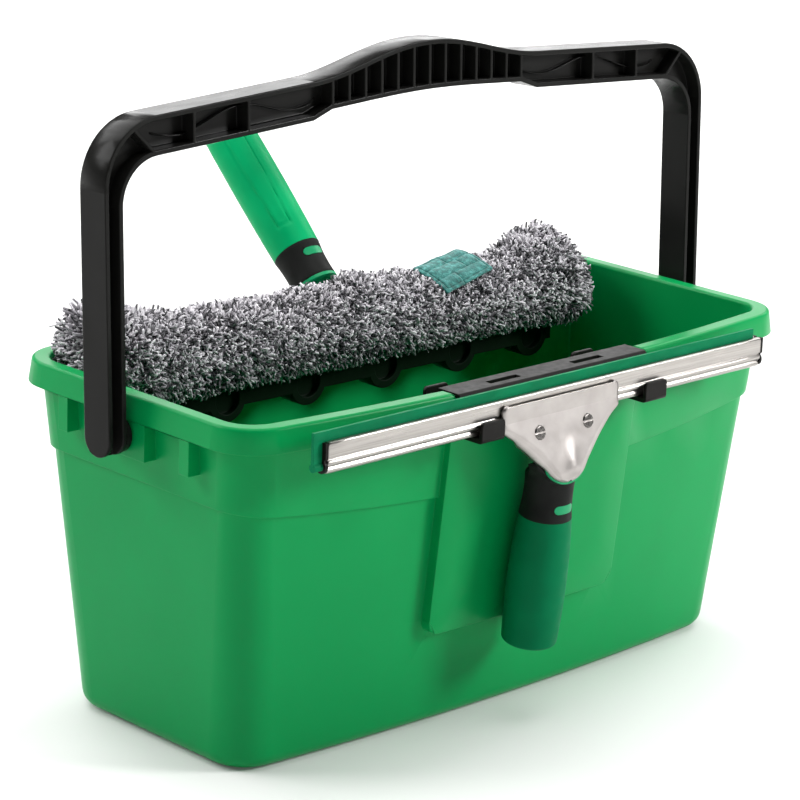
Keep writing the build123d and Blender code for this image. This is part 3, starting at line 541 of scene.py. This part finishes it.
planted = addNode(pileTree, "GeometryNodeInstanceOnPoints", None, {
    "Points": roots, "Instance": tuft, "Rotation": aimed, "Scale": stretch,
})
# Tone: each tuft has its own, darkened by painted shade towards the sleeve's front hem
chance = addNode(pileTree, "FunctionNodeRandomValue", {"data_type": "FLOAT"}, {2: 0.0, 3: 1.0, 8: 17}).outputs[1]
lit = addNode(pileTree, "ShaderNodeMath", {"operation": "SUBTRACT"}, {0: 1.0, 1: shadeHere})
shaded = addNode(pileTree, "ShaderNodeMath", {"operation": "MULTIPLY"}, {0: chance, 1: lit})
toned = addNode(pileTree, "GeometryNodeStoreNamedAttribute", {"data_type": "FLOAT", "domain": "INSTANCE"}, {
    "Geometry": planted, "Name": "tone", "Value": shaded,
})
endTree(pileTree, toned, given["Material"])

step = sleeve["rows"] // pile["pieces"]
for part in range(pile["pieces"]):
    vertices, faces, spots = sleeveGrid(part * step, (part + 1) * step)
    ground = bpy.data.meshes.new("pileGround")
    ground.from_pydata(vertices, [], faces)
    for index, name in enumerate(("pile", "fan", "shade")):
        ground.attributes.new(name, "FLOAT", "POINT").data.foreach_set("value", [spot[index] for spot in spots])
    tufts = growPiece("sleevePile_%d" % (part + 1), ground, pileTree, {
        "Density": pile["perSquareMm"] / mm**2, "Length": pile["length"] * mm, "Root": pile["root"] * mm,
        "Tip": pile["tip"] * mm, "Bend": pile["bend"] * mm, "Wriggle": pile["wriggle"] * mm,
        "Clump": pile["clump"] * mm, "Clump Lean": pile["clumpLean"], "Stray": pile["stray"], "Sag": pile["sag"],
        "Fan": pile["fan"], "Seed": pile["seed"] + part, "Material": fleece,
    }, "washer")
    print(tufts.name, len(tufts.data.polygons), "faces")

# Hem tape along the sleeve's two lower edges, stopping short of the rounded ends
hem = {"width": 5.0, "thick": 1.4, "drop": 0.5, "reach": 0.92, "steps": 90, "sides": 8}
for name, share in (("sleeveHemFront", 0.0), ("sleeveHemBack", 1.0)):
    vertices = []
    for i in range(hem["steps"] + 1):
        along, back, up = sleevePoint(hem["reach"] * (2 * i / hem["steps"] - 1), share)
        for a in range(hem["sides"]):
            angle = 2 * pi * a / hem["sides"]
            high = hem["width"] / 2 * sin(angle) - hem["drop"]
            vertices.append(onWasher(along, back + hem["thick"] * cos(angle), up + high))
    makePiece(name, vertices, tubeFaces(hem["steps"] + 1, hem["sides"]), hemTape, "washer")
print("hem tapes")


# Scrub patch: a quilted rectangle laid over the sleeve, a little askew, its lines pressed in and stitched
def patchPoint(u, v):
    length, width = patch["length"], patch["width"]
    x = (u - 0.5) * length * cos(patchTurn) + (v - 0.5) * width * sin(patchTurn)
    y = (v - 0.5) * width * cos(patchTurn) - (u - 0.5) * length * sin(patchTurn)
    toEdge = min(u * length, (1 - u) * length, v * width, (1 - v) * width)
    row = sum(v >= line for line in patch["lines"])
    nearest = min(
        abs(toEdge - patch["inset"]), abs(u - patch["cross"] - patch["shifts"][row]) * length,
        *(abs(v - line) * width for line in patch["lines"]),
    )
    raised = patch["puff"] * smoothStep(0, patch["puffWidth"], nearest)
    raised -= patch["press"] * exp(-(nearest / patch["pressWidth"]) ** 2)
    raised -= patch["edgeDrop"] * exp(-(toEdge / patch["edgeWidth"]) ** 2)
    radius = patch["bend"] + raised + patch["wave"] * noise.noise(Vector((u * 3.1, v * 2.7, 4.2)))
    angle = patchFlat + y / patch["bend"]
    back = patch["seat"][0] + radius * cos(angle) - patch["bend"] * cos(patchFlat)
    up = patch["seat"][1] + radius * sin(angle) - patch["bend"] * sin(patchFlat)
    return onWasher(patch["along"] + x, back, up + x * patch["rise"])


# The rectangle's corners are drawn in to a round
def roundedCorner(u, v):
    x = (u - 0.5) * patch["length"]
    y = (v - 0.5) * patch["width"]
    boxX, boxY = patch["length"] / 2 - patch["corner"], patch["width"] / 2 - patch["corner"]
    if abs(x) > boxX and abs(y) > boxY:
        dx, dy = abs(x) - boxX, abs(y) - boxY
        scale = max(dx, dy) / hypot(dx, dy)
        x = (boxX + dx * scale) * (1 if x > 0 else -1)
        y = (boxY + dy * scale) * (1 if y > 0 else -1)
    return x / patch["length"] + 0.5, y / patch["width"] + 0.5


vertices = []
for i in range(patch["rows"] + 1):
    for j in range(patch["columns"] + 1):
        vertices.append(patchPoint(*roundedCorner(j / patch["columns"], i / patch["rows"])))
faces = gridFaces(patch["rows"] + 1, patch["columns"] + 1)
scrub = makePiece("scrubPatch", vertices, faces, patchFabric, "washer", recalc=False)
thicken(scrub, patch["thick"])
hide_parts("sleeve_patch")
print("patch", len(vertices), "points")

# Stitches: short rounded bars set along a path, built as a tree that follows any polyline
stitch = {"spacing": 2.6, "length": 1.9, "thick": 0.56, "steps": 24}
stitchTree, given = startTree("stitchRow", {
    "Spacing": "Float", "Length": "Float", "Thick": "Float", "Material": "Material",
})
path = addNode(stitchTree, "GeometryNodeMeshToCurve", None, {0: given["Geometry"]})
evenly = addNode(stitchTree, "GeometryNodeCurveToPoints", {"mode": "LENGTH"}, {
    "Curve": path, "Length": given["Spacing"],
})
bead = addNode(stitchTree, "GeometryNodeMeshUVSphere", None, {"Segments": 6, "Rings": 4, "Radius": 0.5})
thread = addNode(stitchTree, "GeometryNodeSetShadeSmooth", None, {0: bead})
shape = addNode(stitchTree, "ShaderNodeCombineXYZ", None, {0: given["Thick"], 1: given["Thick"], 2: given["Length"]})
aimed = addNode(stitchTree, "FunctionNodeAlignRotationToVector", {"axis": "Z"}, {"Vector": evenly.outputs["Tangent"]})
sewn = addNode(stitchTree, "GeometryNodeInstanceOnPoints", None, {
    "Points": evenly, "Instance": thread, "Rotation": aimed, "Scale": shape,
})
endTree(stitchTree, sewn, given["Material"])

# The seams: round the border, along the two lines, and across each of the three rows
lowU, lowV = patch["inset"] / patch["length"], patch["inset"] / patch["width"]
highU, highV = 1 - lowU, 1 - lowV
border = [(lowU, lowV), (highU, lowV), (highU, highV), (lowU, highV)]
seams = list(zip(border, border[1:] + border[:1]))
seams += [((lowU, line), (highU, line)) for line in patch["lines"]]
rowEnds = [lowV, *patch["lines"], highV]
for low, high, moved in zip(rowEnds, rowEnds[1:], patch["shifts"]):
    seams.append(((patch["cross"] + moved, low), (patch["cross"] + moved, high)))
vertices, edges = [], []
for (fromU, fromV), (toU, toV) in seams:
    for i in range(stitch["steps"] + 1):
        if i:
            edges.append((len(vertices) - 1, len(vertices)))
        t = i / stitch["steps"]
        vertices.append(patchPoint(fromU + (toU - fromU) * t, fromV + (toV - fromV) * t))
ground = bpy.data.meshes.new("stitchPath")
ground.from_pydata(vertices, edges, [])
growPiece("patchStitches", ground, stitchTree, {
    "Spacing": stitch["spacing"] * mm, "Length": stitch["length"] * mm, "Thick": stitch["thick"] * mm,
    "Material": patchThread,
}, "washer")
print("patch stitches")

# Squeegee channel: one rolled section with a flat face, two beads and the grooves between, seen the same from behind
channel = {
    "left": -186.5, "right": 163.5, "back": -119.2, "depth": 8.4, "height": 18.0, "bottom": 185.5, "steps": 24,
    "ends": [(0.0, 0.6), (0.25, 0.3), (0.8, 0.0)],  # millimetres in from an end, and how far the section is drawn in
    "endCut": 0.6, "topDrop": 2.5, "sharp": 50,
}
halfSection = [  # half depth and height above the bottom, in millimetres
    (0.0, 0.0), (1.6, 0.15), (2.7, 0.75), (3.2, 1.7), (3.0, 2.7), (2.5, 3.3), (2.3, 3.7), (2.6, 4.1), (3.3, 4.5),
    (3.9, 5.2), (4.2, 6.1), (3.9, 7.1), (3.3, 7.8), (2.9, 8.15), (2.9, 8.6), (3.5, 8.75), (4.05, 8.95), (4.2, 9.5),
    (4.2, 13.0), (4.2, 16.9), (4.1, 17.5), (3.6, 17.9), (2.8, 18.0), (1.4, 18.0), (1.15, 17.8), (1.15, 9.0),
]
section = halfSection + [(-y, z) for y, z in reversed(halfSection[1:])]
stations = [(channel["left"] + far, drawn) for far, drawn in channel["ends"]]
for i in range(1, channel["steps"]):
    stations.append((channel["left"] + (channel["right"] - channel["left"]) * i / channel["steps"], 0.0))
stations += [(channel["right"] - far, drawn) for far, drawn in reversed(channel["ends"])]
halfDepth, halfHeight = channel["depth"] / 2, channel["height"] / 2
vertices = []
for x, drawn in stations:
    cut = drawn * channel["endCut"]
    for y, z in section:
        deep = channel["back"] - halfDepth + y * (1 - cut / halfDepth)
        high = channel["bottom"] + halfHeight + (z - halfHeight) * (1 - cut / halfHeight)
        high -= smoothStep(12, 18, z) * drawn * channel["topDrop"]
        vertices.append(Vector((x, deep, high)) * mm)
faces = tubeFaces(len(stations), len(section))
rail = makePiece("rolledChannel", vertices, faces, steel, "squeegee")
rail.data.set_sharp_from_angle(angle=radians(channel["sharp"]))
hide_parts("squeegee_channel")
print("channel", len(vertices), "points")

# Jaw plate: pressed sheet, a strip and a fan with a crease between, edges turned back, a keel towards the tip
jaw = {
    "x": -11.5, "front": -129.2, "crease": 190.0, "slope": 15.0, "half": 46.0, "strip": 9.5, "corner": 3.0,
    "shoulder": 4.0, "neck": 32.6, "tip": 13.7, "reach": 39.5, "hollow": 2.0, "sheet": 1.0, "columns": 61,
    "rim": 0.9, "rimWidth": 4.5, "keel": 1.5, "keelAt": 3.0, "keelWidth": 5.5, "keelSpan": (-12, -33),
    "screws": 19.5, "screwDrop": 9.0, "screwFlat": (4.6, 7.2),
}
tipDrop = jaw["reach"] - jaw["neck"]
tipRadius = (jaw["tip"] ** 2 + tipDrop**2) / (2 * tipDrop)


# Half the plate's width at a level, from the strip's top above the crease down to the fan's tip
def jawHalf(level):
    if level > jaw["strip"] - jaw["corner"]:
        up = level - jaw["strip"] + jaw["corner"]
        return jaw["half"] - jaw["corner"] + sqrt(max(jaw["corner"] ** 2 - up**2, 0))
    if level > -jaw["shoulder"]:
        return jaw["half"]
    if level > -jaw["neck"]:  # the flank is a flat arc, hollowed up and inwards
        ax, ay, bx, by = jaw["half"], -jaw["shoulder"], jaw["tip"], -jaw["neck"]
        chord = hypot(ax - bx, ay - by)
        radius = (chord**2 / 4 + jaw["hollow"] ** 2) / (2 * jaw["hollow"])
        cx = (ax + bx) / 2 + (ay - by) / chord * (radius - jaw["hollow"])
        cy = (ay + by) / 2 - (ax - bx) / chord * (radius - jaw["hollow"])
        return cx - sqrt(max(radius**2 - (level - cy) ** 2, 0))
    return sqrt(max(tipRadius**2 - (level + jaw["reach"] - tipRadius) ** 2, 0))


# A point by its level on the plate, which is upright above the crease, and its depth behind the face
def onJaw(x, level, depth):
    slope = radians(jaw["slope"]) if level < 0 else 0.0
    return Vector((
        jaw["x"] + x, jaw["front"] + level * sin(slope) + depth * cos(slope),
        jaw["crease"] + level * cos(slope) - depth * sin(slope),
    ))


# How far the fan's face stands out: its rim pressed back, its keel raised, and flat round the screws
def jawLift(x, level, half, sink):
    if level >= 0:
        return 0.0
    toEdge = min(half - abs(x), (level + jaw["reach"]) * 0.8)
    lift = -sink * (1 - smoothStep(0, jaw["rimWidth"], toEdge))
    keel = jaw["keel"] * exp(-((x - jaw["keelAt"]) / jaw["keelWidth"]) ** 2)
    lift += keel * smoothStep(*jaw["keelSpan"], level) * smoothStep(0, 6, toEdge)
    for side in (-1, 1):
        lift *= smoothStep(*jaw["screwFlat"], hypot(x - side * jaw["screws"], level + jaw["screwDrop"]))
    return lift


levels = [jaw["strip"] - jaw["corner"] * (1 - sin(pi / 2 * (1 - i / 8))) for i in range(9)]
levels += [6.0 - 0.5 * i for i in range(11)] + [0.9, 0.6, 0.3, 0.0, -0.3, -0.6]  # closer by the crease
levels += [-1.2 - 0.8 * i for i in range(40)]
levels += [-jaw["neck"] - (tipDrop - 0.02) * sin(pi / 2 * i / 16) for i in range(1, 17)]
vertices = []
for level in levels:
    half = jawHalf(level)
    sink = jaw["rim"] * smoothStep(0, -8, level)  # how far the fan's rim is pressed back
    fan = smoothStep(-9, -14, level) * (1 - smoothStep(-23, -31, level))  # where the edge is turned well back
    lip = [  # out and back, millimetres from the face's edge
        (0.25 + 0.75 * fan, 0.25 + 0.2 * fan), (0.4 + 1.1 * fan, 0.65 + 0.75 * fan),
        (0.45 + 1.25 * fan, 1.0 + 2.3 * fan),
    ]
    if level > -jaw["shoulder"]:
        lip = [(0.0, 0.2), (0.0, 0.5), (0.0, 0.8)]
    row = [(-half - out, back + sink) for out, back in reversed(lip)]
    for j in range(jaw["columns"]):
        x = half * (2 * j / (jaw["columns"] - 1) - 1)
        row.append((x, -jawLift(x, level, half, sink)))
    row += [(half + out, back + sink) for out, back in lip]
    vertices += [onJaw(x, level, depth) * mm for x, depth in row]
faces = gridFaces(len(levels), jaw["columns"] + 2 * len(lip))
plate = makePiece("pressedJaw", vertices, faces, satinSteel, "squeegee", recalc=False)
thicken(plate, jaw["sheet"])
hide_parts("jaw_plate")
print("jaw plate", len(vertices), "points")

# Squeegee boot: the waisted collar, drawn up on both sides and behind to the body's round tip
boot = {
    "start": (-11.5, -123.782, 150.88), "tilt": 0.10394, "length": 24.0, "top": 14.4, "waist": 14.0, "foot": 15.2,
    "bore": 12.65, "border": 2.1, "ease": 0.2, "soften": 1.6, "front": 2.9, "behind": 12.3, "level": -26.5,
    "tipTurn": 62, "flankTurn": 88, "sideTurn": 104, "points": 144, "rings": 12, "rise": 14, "leave": 0.8,
    "arrive": 0.9, "edge": 3.0, "middle": 7.0, "sharp": 55,
}
handleDown = Vector((0, boot["tilt"], -sqrt(1 - boot["tilt"] ** 2)))
handleFront = Vector((0, handleDown.z, -handleDown.y))
handleSide = Vector((1, 0, 0))


def roundHandle(angle, down, radius):
    return Vector(boot["start"]) + handleDown * down + (handleFront * cos(angle) + handleSide * sin(angle)) * radius


def bootRing(angle, down):
    t = down / boot["length"]
    radius = boot["top"] + (boot["waist"] - boot["top"]) * 4.5 * t * (1 - t) + (boot["foot"] - boot["top"]) * t * t
    return roundHandle(angle, down, radius)


# The boot's top edge: round the tip, up along the fan to a level, then straight back and across behind
def bootTop(angle):
    side = 1 if angle > 0 else -1
    turned = abs(angle) * 180 / pi
    wide = tipRadius + boot["border"]
    tipEnd = acos((tipRadius - tipDrop) / tipRadius)
    shoulder = jawHalf(boot["level"]) + boot["border"] + boot["ease"]
    if turned < boot["tipTurn"]:
        arc = tipEnd * turned / boot["tipTurn"]
        return onJaw(side * wide * sin(arc), tipRadius - jaw["reach"] - wide * cos(arc), boot["front"])
    if turned < boot["flankTurn"]:
        t = (turned - boot["tipTurn"]) / (boot["flankTurn"] - boot["tipTurn"])
        start = tipRadius - jaw["reach"] - wide * cos(tipEnd)
        level = start + (boot["level"] - start) * t
        out = max(jawHalf(level) + boot["border"] + boot["ease"] * t, wide * sin(tipEnd))
        return onJaw(side * out, level, boot["front"])
    if turned < boot["sideTurn"]:
        t = (turned - boot["flankTurn"]) / (boot["sideTurn"] - boot["flankTurn"])
        soft = boot["soften"] * sin(pi / 2 * t) ** 2
        depth = boot["front"] + (boot["behind"] - boot["front"]) * t
        return onJaw(side * (shoulder - soft * t), boot["level"], depth)
    t = (turned - boot["sideTurn"]) / (180 - boot["sideTurn"])
    return onJaw(side * (shoulder - boot["soften"]) * (1 - t), boot["level"], boot["behind"])


angles = [2 * pi * a / boot["points"] - pi for a in range(boot["points"])]
vertices = [roundHandle(angle, boot["length"], boot["bore"]) * mm for angle in angles]
for i in range(boot["rings"] + 1):
    vertices += [bootRing(angle, boot["length"] * (1 - i / boot["rings"])) * mm for angle in angles]
bodyUp = onJaw(0, -1, 0) - onJaw(0, -2, 0)
for i in range(1, boot["rise"] + 1):  # from the collar's round to the top edge, leaving and arriving along the body
    t = i / boot["rise"]
    for angle in angles:
        low, high = bootRing(angle, 0), bootTop(angle)
        far = (high - low).length
        point = low * (2 * t**3 - 3 * t**2 + 1) + high * (3 * t**2 - 2 * t**3)
        point += -handleDown * far * boot["leave"] * (t**3 - 2 * t**2 + t)
        point += bodyUp * far * boot["arrive"] * (t**3 - t**2)
        vertices.append(point * mm)
for angle in angles:  # the edge turns in
    high = bootTop(angle)
    inward = onJaw(0, boot["level"], boot["middle"]) - high
    inward.z = min(inward.z, 0)
    vertices.append((high + inward.normalized() * boot["edge"]) * mm)
faces = gridFaces(len(vertices) // boot["points"], boot["points"], closed=True)
collarBoot = makePiece("squeegeeBoot", vertices, faces, collarRubber, "squeegee")
collarBoot.data.set_sharp_from_angle(angle=radians(boot["sharp"]))
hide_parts("squeegee_collar", "squeegee_wrap")
print("squeegee boot", len(vertices), "points")

# Wavy stiffening ribs on the floors of the bail's flanks, front and back
wave = {
    "hinge": 184.5, "lean": 2.3, "from": 82.0, "to": 201.0, "height": 170.3, "slope": 0.055, "swing": 4.5,
    "length": 85.0, "trough": 98.0, "width": 0.7, "floor": 1.4, "proud": 4.0, "taper": 0.06, "least": 0.15,
    "steps": 64, "sides": 7,
}
bailLean = radians(wave["lean"])
bailOut = Vector((0, -cos(bailLean), sin(bailLean)))
bailUp = Vector((0, sin(bailLean), cos(bailLean)))
for name, side, face in (
    ("bailWaveLeft", -1, 1), ("bailWaveRight", 1, 1), ("bailWaveLeftBack", -1, -1), ("bailWaveRightBack", 1, -1),
):
    vertices = []
    for i in range(wave["steps"] + 1):
        t = i / wave["steps"]
        x = wave["from"] + (wave["to"] - wave["from"]) * t
        y = wave["height"] - wave["slope"] * (x - wave["from"])
        y -= wave["swing"] * cos(2 * pi * (x - wave["trough"]) / wave["length"])
        tall = smoothStep(0, wave["taper"], t) * smoothStep(0, wave["taper"], 1 - t)  # low at its ends
        full = wave["least"] + (1 - wave["least"]) * tall
        for a in range(wave["sides"]):
            angle = pi * a / (wave["sides"] - 1)
            point = Vector((side * x, 0, wave["hinge"])) + bailUp * (y + wave["width"] * cos(angle))
            point += bailOut * face * (wave["floor"] + wave["proud"] * sin(angle) * full)
            vertices.append(point * mm)
    makePiece(name, vertices, tubeFaces(wave["steps"] + 1, wave["sides"]), bailPlastic, "bail")
print("bail ribs")

# Washer grip: a turned barrel with one long thumb panel set in by a seam
grip = {
    "start": 57.0, "length": 105.0, "radius": 16.0, "end": 15.4, "foot": 15.2, "bore": 12.65, "boreDepth": 6.0,
    "round": 2.5, "panelAngle": 127.0, "panelHalf": 22.0, "panelFrom": 14.0, "panelTo": 98.0, "panelDrop": 0.35,
    "narrow": 0.25, "narrowSpan": (60, 16), "seam": 0.8, "seamWidth": 0.6, "rows": 80, "endRows": 8, "columns": 120,
    "sharp": 60,
}
washerSide = alongBar.cross(neckDir)
barrelAngles = [2 * pi * a / grip["columns"] for a in range(grip["columns"])]


def barrel(place):
    t = place / grip["length"]
    ends = grip["foot"] + (grip["end"] - grip["foot"]) * t
    radius = ends + (grip["radius"] - (grip["foot"] + grip["end"]) / 2) * 4 * t * (1 - t)
    left = grip["length"] - place
    if left < grip["round"]:
        radius -= grip["round"] - sqrt(max(grip["round"] ** 2 - (grip["round"] - left) ** 2, 0))
    return radius


def roundNeck(angle, place, radius):
    axis = barCentre + neckDir * (grip["start"] + place)
    return (axis + (alongBar * cos(angle) + washerSide * sin(angle)) * radius) * mm


places = [grip["length"] * i / grip["rows"] for i in range(grip["rows"] - 1)]
for i in range(grip["endRows"] + 1):
    places.append(grip["length"] - grip["round"] * (1 - sin(pi / 2 * i / grip["endRows"])))
vertices = []
for place in places:
    # The panel narrows towards the collar
    half = grip["panelHalf"] * (1 - grip["narrow"] * smoothStep(*grip["narrowSpan"], place))
    for angle in barrelAngles:
        off = abs((angle * 180 / pi - grip["panelAngle"] + 180) % 360 - 180)
        across = radians(off - half) * grip["radius"]
        outside = max(across, grip["panelFrom"] - place, place - grip["panelTo"])  # below 0 on the panel
        radius = barrel(place) - grip["seam"] * exp(-(outside / grip["seamWidth"]) ** 2)
        if outside < 0:
            radius -= grip["panelDrop"] * smoothStep(0, -5, outside)
        vertices.append(roundNeck(angle, place, radius))
for place in (grip["length"], grip["length"] - grip["boreDepth"], 0.0):
    vertices += [roundNeck(angle, place, grip["bore"]) for angle in barrelAngles]
rings = len(vertices) // grip["columns"]
faces = gridFaces(rings, grip["columns"], closed=True)
for a in range(grip["columns"]):  # the last ring joins the first, round the foot
    b = (a + 1) % grip["columns"]
    faces.append(((rings - 1) * grip["columns"] + a, (rings - 1) * grip["columns"] + b, b, a))
handle = makePiece("washerGripBarrel", vertices, faces, washerGripRubber, "washer")
handle.data.set_sharp_from_angle(angle=radians(grip["sharp"]))
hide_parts("washer_grip")
print("washer grip", len(vertices), "points")

# Floor, lights and camera
corners = ((-1, -1), (1, -1), (1, 1), (-1, 1))
floorDrop = 0.2 * mm  # just clear of the tub's foot
floorMesh = bpy.data.meshes.new("studioFloor")
floorMesh.from_pydata([(x * floorSize, y * floorSize, -floorDrop) for x, y in corners], [], [(0, 1, 2, 3)])
floorMesh.materials.append(board)
floor = bpy.data.objects.new("studioFloor", floorMesh)
scene.collection.objects.link(floor)

world = bpy.data.worlds.new("studioAir")
scene.world = world
world.use_nodes = True
air = world.node_tree
skyward = addNode(air, "ShaderNodeSeparateXYZ", None, {0: addNode(air, "ShaderNodeTexCoord").outputs["Object"]})
paper = addNode(air, "ShaderNodeValToRGB", {  # pale round the horizon, dim above
    "stops": [(0.0, 0.95), (0.05, 0.85), (0.12, 0.0), (1.0, 0.0)],
}, {"Fac": skyward.outputs[2]})
air.links.new(paper.outputs[0], air.nodes["Background"].inputs["Color"])

lampAim = Vector((0.0, -0.05, 0.12))
lamps = {  # place, size and watts
    "key": ((1.06, -1.31, 0.96), 0.5, 29), "right": ((2.74, 0.43, 2.07), 1.6, 43),
    "fill": ((-2.32, 2.27, 2.41), 1.9, 92), "back": ((0.0, 2.71, 2.88), 2.6, 92),
    "backRight": ((2.53, 2.76, 1.42), 1.9, 33), "top": ((0.0, -0.11, 3.32), 2.3, 74),
}
for name, (place, size, watts) in lamps.items():
    lamp = bpy.data.lights.new(name, "AREA")
    lamp.size = size
    lamp.energy = watts
    stand = bpy.data.objects.new(name, lamp)
    stand.location = place
    stand.rotation_euler = (lampAim - Vector(place)).to_track_quat("-Z", "Y").to_euler()
    scene.collection.objects.link(stand)

view = {
    "place": (-1.2616, -1.2786, 0.6873), "right": (0.72153, -0.69153, 0.03443), "up": (0.16993, 0.22507, 0.95941),
    "lens": 142.0, "sensor": 36.0, "far": 100.0,
}
camera = bpy.data.cameras.new("photoView")
camera.lens = view["lens"]
camera.sensor_width = view["sensor"]
camera.clip_end = view["far"]
eye = bpy.data.objects.new("photoView", camera)
right, up = Vector(view["right"]).normalized(), Vector(view["up"]).normalized()
back = right.cross(up)
turn = Matrix((right, up, back)).transposed().to_4x4()
eye.matrix_world = Matrix.Translation(view["place"]) @ turn
scene.collection.objects.link(eye)
scene.camera = eye
scene.view_settings.view_transform = "Standard"
print("floor, lights and camera")
